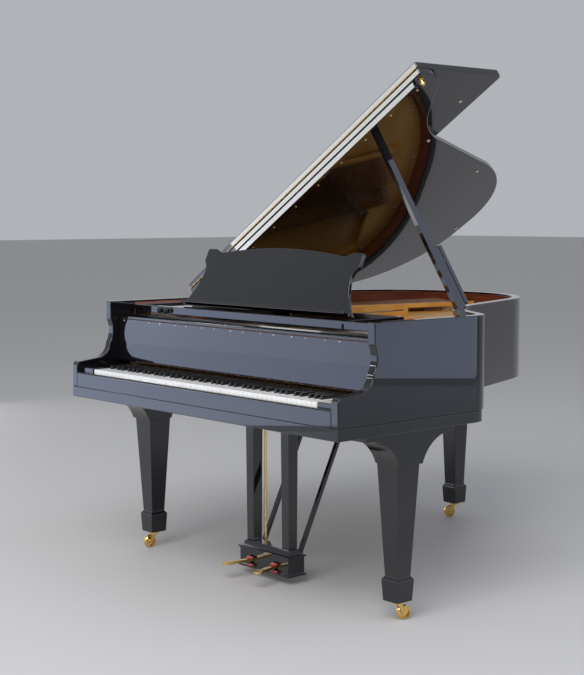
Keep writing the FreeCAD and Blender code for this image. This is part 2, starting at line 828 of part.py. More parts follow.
def plate_opening():
    """The open middle of the plate, from the capo bar back to the hitch line."""
    front = size.capo_line + size.capo_width / 2
    room = size.hitch_tail - size.felt_width
    tenor_room = size.hitch_tail - size.felt_width / 3
    tenor = [n for n in LONG_BRIDGE_NOTES if n <= BREAKS[0]]
    treble = [n for n in LONG_BRIDGE_NOTES if n > BREAKS[0]]
    long_line = bridge_line(tenor, tenor_room) + bridge_line(treble, room)
    bass_line = bridge_line(BASS_BRIDGE_NOTES, room)
    edge = BELLY_HALF - size.plate_sole_width
    left = Vector(-edge, front, 0)
    loop = [left, Vector(edge, front, 0), Vector(edge, long_line[-1].y, 0)] + long_line[::-1]
    loop.append(Vector(-edge, long_line[0].y, 0))
    treble_part = prism([p + Vector(0, 0, BOARD_TOP) for p in loop], Vector(0, 0, size.rim_height))
    bass_loop = [string_point(1, front, -NOTE_PITCH), string_point(BASS_NOTES, front, NOTE_PITCH)]
    bass_loop += [bass_line[-1] + Vector(size.bridge_width, 0, 0)] + bass_line[::-1]
    bass_loop += [bass_line[0] - Vector(size.bridge_width, 0, 0)]
    bass_part = prism([p + Vector(0, 0, BOARD_TOP) for p in bass_loop], Vector(0, 0, size.rim_height))
    return treble_part.fuse(bass_part)


def make_plate():
    """The iron plate with its capo bar, raised bars and bolt heads."""
    sheet_of_iron = case_slab(size.plate_inset, size.pin_block_front, PLATE_BOTTOM, PLATE_TOP)
    sole = case_band(size.plate_inset, size.plate_inset + size.plate_sole_width,
                     size.belly_rail_front, BOARD_TOP, PLATE_BOTTOM)
    plate = sheet_of_iron.cut(plate_opening()).fuse(sole)
    reach = size.capo_width / 2
    ends = [note_x(n) for n in (1, BASS_NOTES, BASS_NOTES + 1, NOTES)]
    room = NOTE_PITCH
    for low, high, rise in ((ends[0], ends[1], size.bass_capo_rise), (ends[2], ends[3], 0)):
        plate = plate.fuse(box_between((low - room, size.capo_line - reach, PLATE_TOP - size.capo_height),
                                       (high + room, size.capo_line + reach, STRING_BED + rise)))
    bass_side = size.bass_break_pitch / 3
    bars = [plate_bar(BASS_NOTES, bass_side, 0.75 * size.plate_bar_width, size.bass_capo_rise / 2)]
    bars += [plate_bar(n, size.break_pitch / 2, size.plate_bar_width, 0) for n in BREAKS]
    plate = plate.multiFuse(bars).removeSplitter()
    formed("iron_plate", plate)

    bolts = []
    middle = size.plate_inset + size.plate_sole_width / 2
    path = Part.Wire(case_edges(middle, size.belly_rail_front + 2 * size.bolt_radius))
    for point in path.discretize(Number=int(size.plate_bolt_count)):
        head = [point + polar(60 * i, size.bolt_radius) + Vector(0, 0, PLATE_TOP) for i in range(6)]
        bolts.append(prism(head, Vector(0, 0, size.bolt_height)))
    formed("plate_bolts", Part.makeCompound(bolts))


OCTAVE = "C c D d E F f G g A a B"
NOTE_NAMES = ("A a B " + " ".join([OCTAVE] * 7) + " C").split()


def is_natural(note):
    """Notes are counted from 1 at the bass end."""
    return NOTE_NAMES[note - 1].isupper()


def keyboard_slots():
    """For each note its natural's number and the edges of its narrow rear part."""
    slots = []
    naturals = 0
    start = -KEYBOARD_HALF
    for note, name in enumerate(NOTE_NAMES, start=1):
        group = "CcDdE" if name in "CcDdE" else "FfGgAaB"
        first_natural = {"C": 0, "F": 3}[group[0]]
        within = group.index(name)
        step = (3 if group[0] == "C" else 4) * KEY_PITCH / len(group)
        octave = (note + 8) // 12
        group_start = start + ((octave - 1) * 7 + first_natural + 2) * KEY_PITCH
        low = group_start + within * step
        slots.append((naturals, low, low + step))
        if name.isupper():
            naturals += 1
    return slots


def natural_key(note, slot):
    """A natural: a wide head, notched for the sharps, and a narrow lever behind."""
    number, low, high = slot
    gap = size.key_gap / 2
    start = -KEYBOARD_HALF
    left = start + number * KEY_PITCH + gap
    right = left + KEY_PITCH - size.key_gap
    has_left = note > 1 and not is_natural(note - 1)
    has_right = note < NOTES and not is_natural(note + 1)
    inner_left = low + gap if has_left else left
    inner_right = high - gap if has_right else right
    front = size.key_front
    head = front + size.natural_head
    back = front + size.key_length
    loop = [(left, front), (right, front)]
    if has_right:
        loop += [(right, head), (inner_right, head)]
    loop += [(inner_right, back), (inner_left, back)]
    if has_left:
        loop += [(inner_left, head), (left, head)]
    return prism([Vector(x, y, KEY_BOTTOM) for x, y in loop], Vector(0, 0, size.key_height))


def sharp_key(slot):
    """A sharp: a lever with a raised front piece that slopes at its nose."""
    low, high = slot[1] + size.key_gap / 2, slot[2] - size.key_gap / 2
    front = size.key_front + size.natural_head + size.key_gap
    back = size.key_front + size.key_length
    top = KEY_TOP + size.sharp_rise
    lever_top = KEY_TOP - size.sharp_slope
    middle = (low + high) / 2
    wide = size.sharp_share * KEY_PITCH
    left = middle - wide / 2
    side = [(front, KEY_BOTTOM), (back, KEY_BOTTOM), (back, lever_top),
            (front + size.sharp_length, lever_top), (front + size.sharp_length, top),
            (front + size.sharp_slope, top), (front, lever_top)]
    return prism([Vector(left, y, z) for y, z in side], Vector(wide, 0, 0))


def make_keys():
    """The key frame, the keys, and the naturals and sharps as two groups."""
    slots = keyboard_slots()
    notes = range(1, NOTES + 1)
    formed("natural_keys", Part.makeCompound(
        [natural_key(n, slots[n - 1]) for n in notes if is_natural(n)]))
    formed("sharp_keys", Part.makeCompound(
        [sharp_key(slots[n - 1]) for n in notes if not is_natural(n)]))

    half = KEYBOARD_HALF
    wide = half + size.key_gap + size.bracket_thickness
    seat = KEY_BOTTOM - size.key_seat_gap
    width = size.frame_rail_width
    balance = size.key_front + size.balance_line
    back = size.key_front + size.key_length - width
    front = size.key_slip_thickness + width / 4
    rails = [box_between((-half, front, RIM_BOTTOM),
                         (half, front + width, RIM_BOTTOM + size.front_rail_height)),
             box_between((-wide, back, RIM_BOTTOM), (wide, back + width, seat))]
    ridge = [Vector(-half, balance - width / 2, RIM_BOTTOM), Vector(-half, balance + width / 2, RIM_BOTTOM),
             Vector(-half, balance + width / 2, RIM_BOTTOM + size.front_rail_height),
             Vector(-half, balance + size.balance_ridge / 2, seat),
             Vector(-half, balance - size.balance_ridge / 2, seat),
             Vector(-half, balance - width / 2, RIM_BOTTOM + size.front_rail_height)]
    rails.append(prism(ridge, Vector(2 * half, 0, 0)))
    for place in (-1, -0.34, 0.34, 1):
        x = place * (half - width / 2)
        rails.append(box_between((x - width / 2, front, RIM_BOTTOM),
                                 (x + width / 2, back + width, RIM_BOTTOM + size.frame_slat)))
    formed("key_frame", rails[0].multiFuse(rails[1:]).removeSplitter())


def hammer(note):
    """A shank and a felt head, drawn from the side."""
    pivot_y = size.hammer_pivot_line
    pivot_z = RIM_BOTTOM + size.hammer_pivot_height
    low, high = pivot_z - size.shank_height / 2, pivot_z + size.shank_height / 2
    head = pivot_y + size.hammer_reach
    thick = size.hammer_thickness / 2
    top = pivot_z + size.hammer_rise
    butt = pivot_y - size.shank_height
    side = [(butt, low), (head + thick - 1, low), (head + thick, top - thick), (head, top),
            (head - thick, top - thick), (head - thick + 1, high), (butt, high)]
    wide = size.hammer_share * NOTE_PITCH
    x = string_point(note, size.strike_line).x - wide / 2
    return prism([Vector(x, y, z) for y, z in side], Vector(wide, 0, 0))


def damper(note):
    """A damper head over its strings, with a wire that passes beside them."""
    middle = string_point(note, size.damper_line).x
    bass = note <= BASS_NOTES
    thick = size.wound_string if bass else size.plain_string
    tall = size.damper_head_height * (0.75 if bass else 1)
    under = string_height(note, size.damper_line + size.damper_head_depth) + thick + size.damper_gap
    wire_x = middle + NOTE_PITCH / 2 + size.damper_wire / 2
    head = box_between((wire_x - NOTE_PITCH + 2 * size.damper_gap, size.damper_line, under),
                       (wire_x, size.damper_line + size.damper_head_depth, under + tall))
    foot = RIM_BOTTOM + size.damper_tray_height + size.key_seat_gap
    wire = box_between((wire_x - size.damper_wire, size.damper_line, foot),
                       (wire_x, size.damper_line + size.damper_wire, under))
    return head.fuse(wire)


def make_action():
    """Hammers, dampers, the rails that carry them and the tray that lifts the dampers."""
    for name, natural in (("natural", True), ("sharp", False)):
        notes = [n for n in range(1, NOTES + 1) if is_natural(n) == natural]
        formed(f"{name}_hammers", Part.makeCompound([hammer(n) for n in notes]))
        formed(f"{name}_dampers", Part.makeCompound([damper(n) for n in notes if n <= size.damper_notes]))

    half = KEYBOARD_HALF
    rail_y = size.hammer_pivot_line - size.shank_height - size.flange_room
    pivot_z = RIM_BOTTOM + size.hammer_pivot_height
    width = size.action_rail_width
    rest_y = size.hammer_pivot_line + 0.7 * size.hammer_reach
    rest_top = pivot_z - size.shank_height / 2 - size.key_seat_gap
    back = size.key_front + size.key_length - size.frame_rail_width
    seat = KEY_BOTTOM - size.key_seat_gap
    span = half + size.key_gap
    solids = [box_between((-span, rail_y - width, pivot_z - width / 2), (span, rail_y, pivot_z + width / 2)),
              box_between((-span, rest_y, rest_top - width), (span, rest_y + width, rest_top))]
    for side in (-1, 1):
        inner = side * (half + size.key_gap)
        loop = [Vector(inner, back, seat), Vector(inner, back + size.frame_rail_width, seat),
                Vector(inner, rest_y + width, rest_top), Vector(inner, rail_y - width, pivot_z + width / 2)]
        solids.append(prism(loop, Vector(side * size.bracket_thickness, 0, 0)))
    formed("hammer_rail", solids[0].multiFuse(solids[1:]).removeSplitter())

    keep(block("damper_tray", (f"-{BELLY_HALF_EXPR} + sizes.damper_gap",
                               "sizes.damper_line - (sizes.damper_tray_depth - sizes.damper_wire) / 2",
                               f"{RIM_BOTTOM_EXPR} + sizes.damper_tray_height - sizes.damper_tray_thickness"),
               (f"2 * ({BELLY_HALF_EXPR} - sizes.damper_gap)", "sizes.damper_tray_depth",
                "sizes.damper_tray_thickness")), "damper_tray")


def leaning(obj_shape, pivot, axis, angle):
    """A shape turned about a line through a point."""
    turned = obj_shape.copy()
    turned.rotate(pivot, axis, angle)
    return turned


def make_fallboard():
    """The fallboard, upright on its pivot, and the lip that folds back over its top."""
    half = INNER_HALF - size.fallboard_side_gap
    pivot = Vector(0, size.fallboard_pivot_line, RIM_BOTTOM + size.fallboard_pivot_height)
    reach = size.fallboard_thickness / 2
    top = pivot.z + size.fallboard_length
    board = box_between((-half, pivot.y - reach, pivot.z - reach), (half, pivot.y + reach, top))
    rounded = [e for e in board.Edges if abs(e.BoundBox.ZMax - (pivot.z - reach)) < 0.01 and e.Length > half]
    board = board.makeFillet(0.9 * reach, rounded)
    pin_half = INNER_HALF - size.panel_gap
    pin = Part.makeCylinder(size.fallboard_pin_radius, 2 * pin_half,
                            Vector(-pin_half, pivot.y, pivot.z), Vector(1, 0, 0))
    board = board.fuse(pin).removeSplitter()
    lip = box_between((-half, pivot.y - reach, top + size.panel_gap),
                      (half, pivot.y - reach + size.lip_depth, top + size.panel_gap + size.lip_thickness))
    nose = [e for e in lip.Edges if abs(e.BoundBox.YMin - lip.BoundBox.YMax) < 0.01 and e.Length > half]
    lip = lip.makeFillet(0.45 * size.lip_thickness, nose)
    formed("fallboard", leaning(board, pivot, Vector(1, 0, 0), -size.fallboard_lean))
    formed("fallboard_lip", leaning(lip, pivot, Vector(1, 0, 0), -size.fallboard_lean))


def make_desk():
    """Slide rails, the sliding tray, the leaning desk and the strut behind it."""
    level = TRAY_BOTTOM_EXPR
    lined = f"({INNER_HALF_EXPR} - sizes.lining_thickness)"
    rail_front = "sizes.stretcher_front + sizes.stretcher_thickness"
    rails = [block(f"desk_rail_{side}", (start, rail_front, f"{level} - sizes.desk_rail_height"),
                   ("sizes.desk_rail_width", "sizes.desk_rail_length",
                    "sizes.desk_rail_height - sizes.panel_gap"))
             for side, start in (("bass", f"-{lined}"), ("treble", f"{lined} - sizes.desk_rail_width"))]
    keep(grouped("desk_rails", rails), "desk_rails")

    body = new_body("desk_tray")
    edge = f"({lined} - sizes.panel_gap)"
    front = "sizes.desk_tray_front"
    back = "sizes.desk_tray_front + sizes.desk_tray_depth"
    inside = "sizes.desk_tray_front + sizes.desk_tray_bar"
    shelf = "sizes.desk_shelf_width / 2"
    corners = [(f"-{edge}", front), (edge, front), (edge, back), (f"{edge} - sizes.desk_tray_arm", back),
               (f"{edge} - sizes.desk_tray_arm", inside), (shelf, inside), (shelf, back), (f"-{shelf}", back),
               (f"-{shelf}", inside), (f"-{edge} + sizes.desk_tray_arm", inside),
               (f"-{edge} + sizes.desk_tray_arm", back), (f"-{edge}", back)]
    plan = outline(body, "desk_tray_plan", "XY_Plane", corners, level)
    padded(body, "desk_tray_board", plan, "sizes.desk_tray_thickness")
    apron_low = f"{level} + sizes.desk_tray_thickness - sizes.desk_apron_height"
    beside = "(sizes.desk_apron_width / 2 + sizes.desk_apron_seam + sizes.desk_apron_end / 2)"
    end_wide = "sizes.desk_apron_end"
    for part, x, wide in (("middle", "0", "sizes.desk_apron_width"), ("bass", f"-{beside}", end_wide),
                          ("treble", beside, end_wide)):
        plan = rectangle(body, f"desk_apron_{part}_plan", wide, "sizes.desk_apron_thickness", apron_low,
                         (x, f"({front} + sizes.desk_apron_thickness / 2)"))
        padded(body, f"desk_apron_{part}", plan, "sizes.desk_apron_height")
    keep(body, "desk_tray")

    tray_top = float(sheet.evalExpression(level.replace("sizes.", ""))) + size.desk_tray_thickness
    reach = size.desk_strut_thickness / 2
    hinge = Vector(0, size.desk_line, tray_top + reach + size.panel_gap)
    panel = desk_board()
    panel.rotate(Vector(), Vector(1, 0, 0), 90 - size.desk_lean)
    panel.translate(hinge)
    formed("desk_panel", panel)

    # The strut is as long as its pivot is far from the desk's hinge, so its foot stays on the tray.
    behind = size.desk_back_offset + reach + size.panel_gap
    length = math.hypot(size.desk_strut_place, behind)
    rise = 90 - size.desk_lean - math.degrees(math.atan2(behind, size.desk_strut_place))
    pivot = hinge + Vector(0, length * math.cos(math.radians(rise)), length * math.sin(math.radians(rise)))
    strut = box_between((-size.desk_strut_width / 2, 0, -reach), (size.desk_strut_width / 2, length, reach))
    for end in (0, length):
        strut = strut.fuse(Part.makeCylinder(reach, size.desk_strut_width,
                                             Vector(-size.desk_strut_width / 2, end, 0), Vector(1, 0, 0)))
    strut = strut.removeSplitter()
    strut.rotate(Vector(), Vector(1, 0, 0), -rise)
    strut.translate(pivot)
    formed("desk_strut", strut)


def desk_board():
    """The desk lying flat: flared foot, waisted sides, an ear at each top corner and a crest."""
    foot = size.desk_bottom_width / 2
    waist = Vector(size.desk_waist_width / 2, size.desk_waist_height)
    top = size.desk_top_width / 2
    ear_top = size.desk_ear_height
    small = size.desk_ear_round
    root = Vector(top, size.desk_ear_root)
    ear = Vector(top - size.desk_ear_width, ear_top)
    notch = Vector(size.desk_crest_width / 2, size.desk_crest_shoulder)
    rise = size.desk_height - size.desk_crest_shoulder
    right = [
        Part.LineSegment(Vector(0, 0), Vector(foot, 0)),
        Part.Arc(Vector(foot, 0), Vector(waist.x + 0.48 * (foot - waist.x), 0.36 * waist.y), waist),
        Part.Arc(waist, Vector(waist.x + 0.2 * (top - waist.x), waist.y + 0.56 * (root.y - waist.y)), root),
        Part.LineSegment(root, Vector(top, ear_top - small)),
        Part.Arc(Vector(top, ear_top - small), Vector(top - 0.29 * small, ear_top - 0.29 * small),
                 Vector(top - small, ear_top)),
        Part.LineSegment(Vector(top - small, ear_top), ear),
        Part.LineSegment(ear, notch),
        Part.Arc(notch, Vector(notch.x / 2, notch.y + 0.75 * rise), Vector(0, size.desk_height)),
    ]
    edges = [e.toShape() for e in right]
    mirrored = [e.mirror(Vector(), Vector(1, 0, 0)) for e in edges]
    face = Part.Face(Part.Wire(Part.__sortEdges__(edges + mirrored)))
    board = face.extrude(Vector(0, 0, size.desk_thickness))
    board.translate(Vector(0, 0, -size.desk_back_offset))
    reach = 0.96 * foot
    front = size.desk_thickness - size.desk_back_offset
    ledge = box_between((-reach, 0, front), (reach, size.desk_ledge_thickness, front + size.desk_ledge_depth))
    return board.fuse(ledge).removeSplitter()


def lid_axis():
    """A point on the line about which the lid turns, beside the bass edge."""
    return Vector(-HALF - size.lid_overhang - size.lid_hinge_offset, 0, RIM_TOP + size.lid_rest_gap / 2)


def raised(shape):
    """A shape made on the closed lid, swung up with it."""
    return leaning(shape, lid_axis(), Vector(0, 1, 0), -size.lid_angle)


def make_lid():
    """The main lid, the front lid folded back on it, and their hinges."""
    low = RIM_TOP + size.lid_rest_gap
    top = low + size.lid_thickness
    edge = size.lid_front + size.flap_hinge_gap
    formed("lid_main", raised(case_slab(-size.lid_overhang, edge, low, top)))

    reach = HALF - size.batten_inset
    start = edge + size.batten_offset
    batten = box_between((-reach, start, low - size.batten_height), (reach, start + size.batten_width, low))
    formed("lid_batten", raised(batten))

    half = HALF + size.lid_overhang
    flap_low = top + 2 * size.panel_gap
    flap = box_between((-half, edge, flap_low), (half, edge + size.flap_depth, flap_low + size.lid_thickness))
    corners = [e for e in flap.Edges if e.BoundBox.ZLength > 1 and e.BoundBox.YMin > edge + 1]
    flap = flap.makeFillet(size.lid_thickness, corners)
    formed("lid_flap", raised(flap))

    barrel = Part.makeCylinder(size.flap_hinge_radius, 2 * half,
                               Vector(-half, size.lid_front, top + size.panel_gap), Vector(1, 0, 0))
    formed("flap_hinge", raised(barrel))

    hinges = []
    axis = lid_axis()
    leaf_low = RIM_TOP - size.lid_hinge_leaf_height
    straight = case_plan()[5].y
    first = size.lid_front + 2 * size.lid_hinge_length
    for place in (first, (first + straight) / 2, straight - size.lid_hinge_length / 2):
        y = place - size.lid_hinge_length / 2
        knuckle = Part.makeCylinder(size.lid_hinge_radius, size.lid_hinge_length, Vector(axis.x, y, axis.z),
                                    Vector(0, 1, 0))
        leaf = box_between((-HALF - size.lid_hinge_leaf, y, leaf_low),
                           (-HALF, y + size.lid_hinge_length, RIM_TOP))
        web_low = axis.z - size.lid_hinge_radius
        web = box_between((axis.x, y, web_low),
                          (-HALF, y + size.lid_hinge_length, web_low + size.lid_hinge_leaf))
        hinges.append(knuckle.fuse(leaf).fuse(web).removeSplitter())
    formed("lid_hinges", Part.makeCompound(hinges))


def prop_frame():
    """The prop's pivot, its length, and its directions: up, its hinge axis and its side."""
    angle = math.radians(size.lid_angle)
    axis = lid_axis()
    down = size.prop_top_gap - size.lid_rest_gap / 2
    along = size.prop_top_along_lid
    touch = Vector(axis.x + along * math.cos(angle) + down * math.sin(angle), size.prop_top_y,
                   axis.z + along * math.sin(angle) - down * math.cos(angle))
    pivot = Vector(HALF - size.prop_from_side, size.prop_pivot_y, PLATE_TOP + size.prop_pivot_above_plate)
    up = (touch - pivot).normalize()
    stowed = polar(size.prop_stow_heading)
    hinge = up.cross(stowed).normalize()
    return pivot, (touch - pivot).Length, up, hinge


def make_prop():
    """The stick that holds the lid up, and the block with two ears that carries its foot."""
    pivot, length, up, hinge = prop_frame()
    turn = Placement(pivot, Rotation(hinge.cross(up), hinge, up, "ZYX"))
    wide, thick = size.prop_width / 2, size.prop_thickness / 2
    tip = length - wide
    stick = box_between((-wide, -thick, 0), (wide, thick, tip))
    knob = Part.makeCylinder(wide, size.prop_thickness, Vector(0, -thick, tip), Vector(0, 1, 0))
    foot = Part.makeCylinder(size.prop_foot_radius, size.prop_thickness,
                             Vector(0, -thick, 0), Vector(0, 1, 0))
    bore = Part.makeCylinder(size.prop_pin_radius + size.prop_pin_clearance, 2 * size.prop_thickness,
                             Vector(0, -2 * thick, 0), Vector(0, 1, 0))
    stick = stick.fuse(knob).fuse(foot).cut(bore).removeSplitter()
    step = size.short_prop_slot + size.short_prop_width
    across = thick + 2 * step
    height = size.short_prop_pivot
    axle = Part.makeCylinder(size.prop_pin_radius, across, Vector(0, -across, height), Vector(0, 1, 0))
    stick = stick.fuse(axle).removeSplitter()
    stick.Placement = turn
    formed("lid_prop", stick)

    half = size.short_prop_thickness / 2
    bars = []
    for number in range(2):
        far = thick + (number + 1) * step
        low = size.short_prop_foot + number * size.prop_foot_radius
        bars.append(box_between((-half, -far, low), (half, size.short_prop_width - far, height)))
        bars.append(Part.makeCylinder(half, size.short_prop_width, Vector(0, -far, height), Vector(0, 1, 0)))
    bridge = height - 2 * size.prop_width
    bars.append(box_between((-half, -across, bridge), (half, -thick - size.short_prop_slot, bridge + half)))
    short = bars[0].multiFuse(bars[1:])
    eye = Part.makeCylinder(size.prop_pin_radius + size.prop_pin_clearance, across,
                            Vector(0, -across, height), Vector(0, 1, 0))
    short = short.cut(eye).removeSplitter()
    short.Placement = turn
    formed("short_prop", short)

    reach = size.prop_foot_radius
    drop = 1.9 * size.prop_foot_radius
    ears = []
    for side in (-1, 1):
        near = side * (thick + size.panel_gap)
        far = near + side * size.prop_ear_thickness
        low, high = sorted((near, far))
        ear = box_between((-reach, low, -drop), (reach, high, 0))
        ear = ear.fuse(Part.makeCylinder(reach, high - low, Vector(0, low, 0), Vector(0, 1, 0)))
        ears.append(ear)
    span = thick + size.panel_gap + size.prop_ear_thickness
    pin = Part.makeCylinder(size.prop_pin_radius, 2 * span, Vector(0, -span, 0), Vector(0, 1, 0))
    holder = ears[0].multiFuse([ears[1], pin])
    holder.Placement = turn
    base_half = size.prop_block_width / 2
    base_top = pivot.z - 1.35 * size.prop_foot_radius
    base = box_between((pivot.x - base_half, pivot.y - base_half, PLATE_TOP),
                       (pivot.x + base_half, pivot.y + base_half, base_top))
    below = box_between((pivot.x - HALF, pivot.y - HALF, PLATE_TOP - HALF),
                        (pivot.x + HALF, pivot.y + HALF, PLATE_TOP))
    formed("prop_block", holder.cut(below).fuse(base).removeSplitter())


def leg_column(body, name, x, y, head, wide):
    """The tapered column on its block foot, with a bevelled cap between them."""
    block_top = "sizes.castor_height + sizes.leg_block_height"
    cap_top = f"{block_top} + sizes.leg_cap_height"
    kind = "PartDesign::AdditiveWedge"
    foot = "sizes.leg_foot_width"
    tapered(body.newObject, kind, f"{name}_block", ["sizes.leg_block_foot"] * 2,
            ["sizes.leg_block_width"] * 2, "sizes.leg_block_height", (x, y, "sizes.castor_height"))
    tapered(body.newObject, kind, f"{name}_cap", ["sizes.leg_block_width"] * 2, [foot] * 2,
            "sizes.leg_cap_height", (x, y, block_top))
    tapered(body.newObject, kind, f"{name}_taper", [foot] * 2, [wide] * 2, f"{head} - ({cap_top})",
            (x, y, cap_top))


def make_legs():
    """Two front legs with curved brackets, and the tail leg under the inner rim."""
    for side, sign in (("bass", -1), ("treble", 1)):
        name = f"leg_{side}"
        body = new_body(name)
        x = f"{sign} * {LEG_X_EXPR}"
        head = "sizes.keybed_underside - sizes.leg_bracket_drop"
        leg_column(body, name, x, "sizes.leg_y", head, "sizes.leg_column_width")
        top = "sizes.keybed_underside"
        end = f"{top} - sizes.leg_bracket_end"
        half = "sizes.leg_bracket_length / 2"
        neck = "sizes.leg_bracket_neck / 2"
        sweep = f"({half} - {neck})"
        fall = "(sizes.leg_bracket_drop - sizes.leg_bracket_end)"
        front, back = f"sizes.leg_y - {half}", f"sizes.leg_y + {half}"
        near, far = f"sizes.leg_y - {neck}", f"sizes.leg_y + {neck}"
        corners = [(front, end), (near, head), (far, head), (back, end), (back, top), (front, top)]
        bends = {0: (f"{near} - 0.42 * {sweep}", f"{end} - 0.2 * {fall}"),
                 2: (f"{far} + 0.42 * {sweep}", f"{end} - 0.2 * {fall}")}
        inner = "(sizes.leg_bracket_width - sizes.leg_bracket_out)"
        start = f"{x} - {inner}" if sign > 0 else f"{x} - sizes.leg_bracket_out"
        bracket = outline(body, f"{name}_bracket_side", "YZ_Plane", corners, start, bends)
        padded(body, f"{name}_bracket", bracket, "sizes.leg_bracket_width")
        keep(body, name)

    body = new_body("leg_tail")
    middle = (TAIL_LEG_X_EXPR, "sizes.tail_leg_y")
    head = "sizes.keybed_underside"
    leg_column(body, "leg_tail", *middle, head, "sizes.tail_column_width")
    plan = rectangle(body, "leg_tail_head_plan", "sizes.tail_leg_head", "sizes.tail_leg_head", head, middle)
    padded(body, "leg_tail_head", plan, "sizes.keybed_thickness")
    keep(body, "leg_tail")


def castor_places():
    """Name, foot of the leg and heading of the trailing wheel, for each castor."""
    leg_x = HALF - size.leg_from_side
    return (("bass", Vector(-leg_x, size.leg_y, 0), size.castor_turn_bass),
            ("treble", Vector(leg_x, size.leg_y, 0), size.castor_turn_treble),
            ("tail", Vector(size.tail_leg_from_bass - HALF, size.tail_leg_y, 0), size.castor_turn_tail))


def castor_fork():
    """Stem, head disc, two cheeks that sweep back to the axle, and the axle itself."""
    seat = size.castor_height - size.castor_socket_height
    stem = Part.makeCylinder(size.castor_stem_radius, size.castor_socket_height,
                             Vector(0, 0, seat - size.panel_gap))
    head_low = seat - size.panel_gap - size.castor_head_height
    head = many_sided(Vector(0, 0, head_low), size.castor_head_radius, 12, size.castor_head_height)
    inside = size.castor_wheel_width / 2 + size.castor_side_gap
    axle = Vector(size.castor_trail, 0, size.castor_wheel_radius)
    lug = 2 * size.castor_axle_radius
    solids = [head]
    for side in (-1, 1):
        low, high = sorted((side * inside, side * (inside + size.castor_cheek)))
        reach = size.castor_head_radius * 0.75
        loop = [Vector(-0.3 * reach, low, head_low), Vector(reach, low, head_low),
                Vector(axle.x + lug, low, axle.z), Vector(axle.x, low, axle.z - lug),
                Vector(axle.x - lug, low, axle.z)]
        solids.append(prism(loop, Vector(0, high - low, 0)))
    span = inside + size.castor_cheek / 2
    solids.append(Part.makeCylinder(size.castor_axle_radius, 2 * span,
                                    Vector(axle.x, -span, axle.z), Vector(0, 1, 0)))
    return stem.multiFuse(solids).removeSplitter()


def castor_wheel():
    """A wheel with a bore for the axle."""
    radius, wide = size.castor_wheel_radius, size.castor_wheel_width
    start = Vector(size.castor_trail, -wide / 2, radius)
    tread = Part.makeCylinder(radius, wide, start, Vector(0, 1, 0))
    bore = Part.makeCylinder(size.castor_axle_radius + size.castor_clearance, wide, start, Vector(0, 1, 0))
    return tread.cut(bore)


def make_castors():
    """Brass sockets under the legs, swivelling forks and their wheels."""
    sockets = []
    seat = size.castor_height - size.castor_socket_height
    for name, foot, heading in castor_places():
        ring = many_sided(foot + Vector(0, 0, seat), size.castor_socket_radius, 12, size.castor_socket_height)
        bore = Part.makeCylinder(size.castor_stem_radius + size.castor_clearance, size.castor_socket_height,
                                 foot + Vector(0, 0, seat))
        sockets.append(ring.cut(bore))
        turn = Rotation(Vector(0, 0, 1), heading)
        for part, shape in (("castor_fork", castor_fork()), ("castor_wheel", castor_wheel())):
            shape.Placement = Placement(foot, turn).multiply(shape.Placement)
            formed(f"{part}_{name}", shape)
    formed("castor_sockets", Part.makeCompound(sockets))


def make_lyre():
    """Top block, pillars, pedal box, braces, pedals and rods."""
    y = "sizes.lyre_middle"
    top_low = "sizes.keybed_underside - sizes.lyre_top_height"
    sides = (("bass", -1), ("treble", 1))
    deep = size.lyre_top_depth / 2
    under = size.keybed_underside - size.lyre_top_height
    head = box_between((-size.lyre_top_width / 2, size.lyre_middle - deep, under),
                       (size.lyre_top_width / 2, size.lyre_middle + deep, size.keybed_underside))
    formed("lyre_top_block", head.cut(rod_holes(under, size.keybed_underside)))

    box_top = ("sizes.pedal_box_lift + sizes.pedal_base_height + sizes.pedal_box_height"
               " + sizes.pedal_cap_height + sizes.plinth_height")
    pillars = [tapered(doc.addObject, "Part::Wedge", f"lyre_pillar_{name}", ["sizes.pillar_foot"] * 2,
                       ["sizes.pillar_top"] * 2, f"{top_low} - ({box_top})",
                       (f"{sign} * sizes.pillar_spacing / 2 + sizes.origin_to_middle",
                        f"{y} - sizes.origin_to_front", box_top)) for name, sign in sides]
    keep(grouped("lyre_pillars", pillars), "lyre_pillars")
    make_pedal_box()
    make_pedals()

    stick_half = size.brace_stick / 2
    low = Vector(0, size.lyre_middle + size.pedal_box_depth / 2 + size.pedal_box_moulding,
                 size.pedal_box_lift + size.pedal_base_height + size.pedal_box_height)
    high = Vector(0, low.y + size.brace_stick_run, size.keybed_underside)
    along = high - low
    tilt = math.degrees(math.atan2(along.z, along.y))
    room = box_between((-HALF, low.y, 0), (HALF, low.y + 2 * size.brace_stick_run, size.keybed_underside))
    far = along.Length
    sticks = []
    for sign in (-1, 1):
        stick = box_between((-stick_half, -far, -stick_half), (stick_half, 2 * far, stick_half))
        stick.Placement = Placement(low + Vector(sign * size.brace_stick_x, 0, 0),
                                    Rotation(Vector(1, 0, 0), tilt))
        sticks += stick.common(room).Solids
    formed("lyre_braces", Part.makeCompound(sticks))


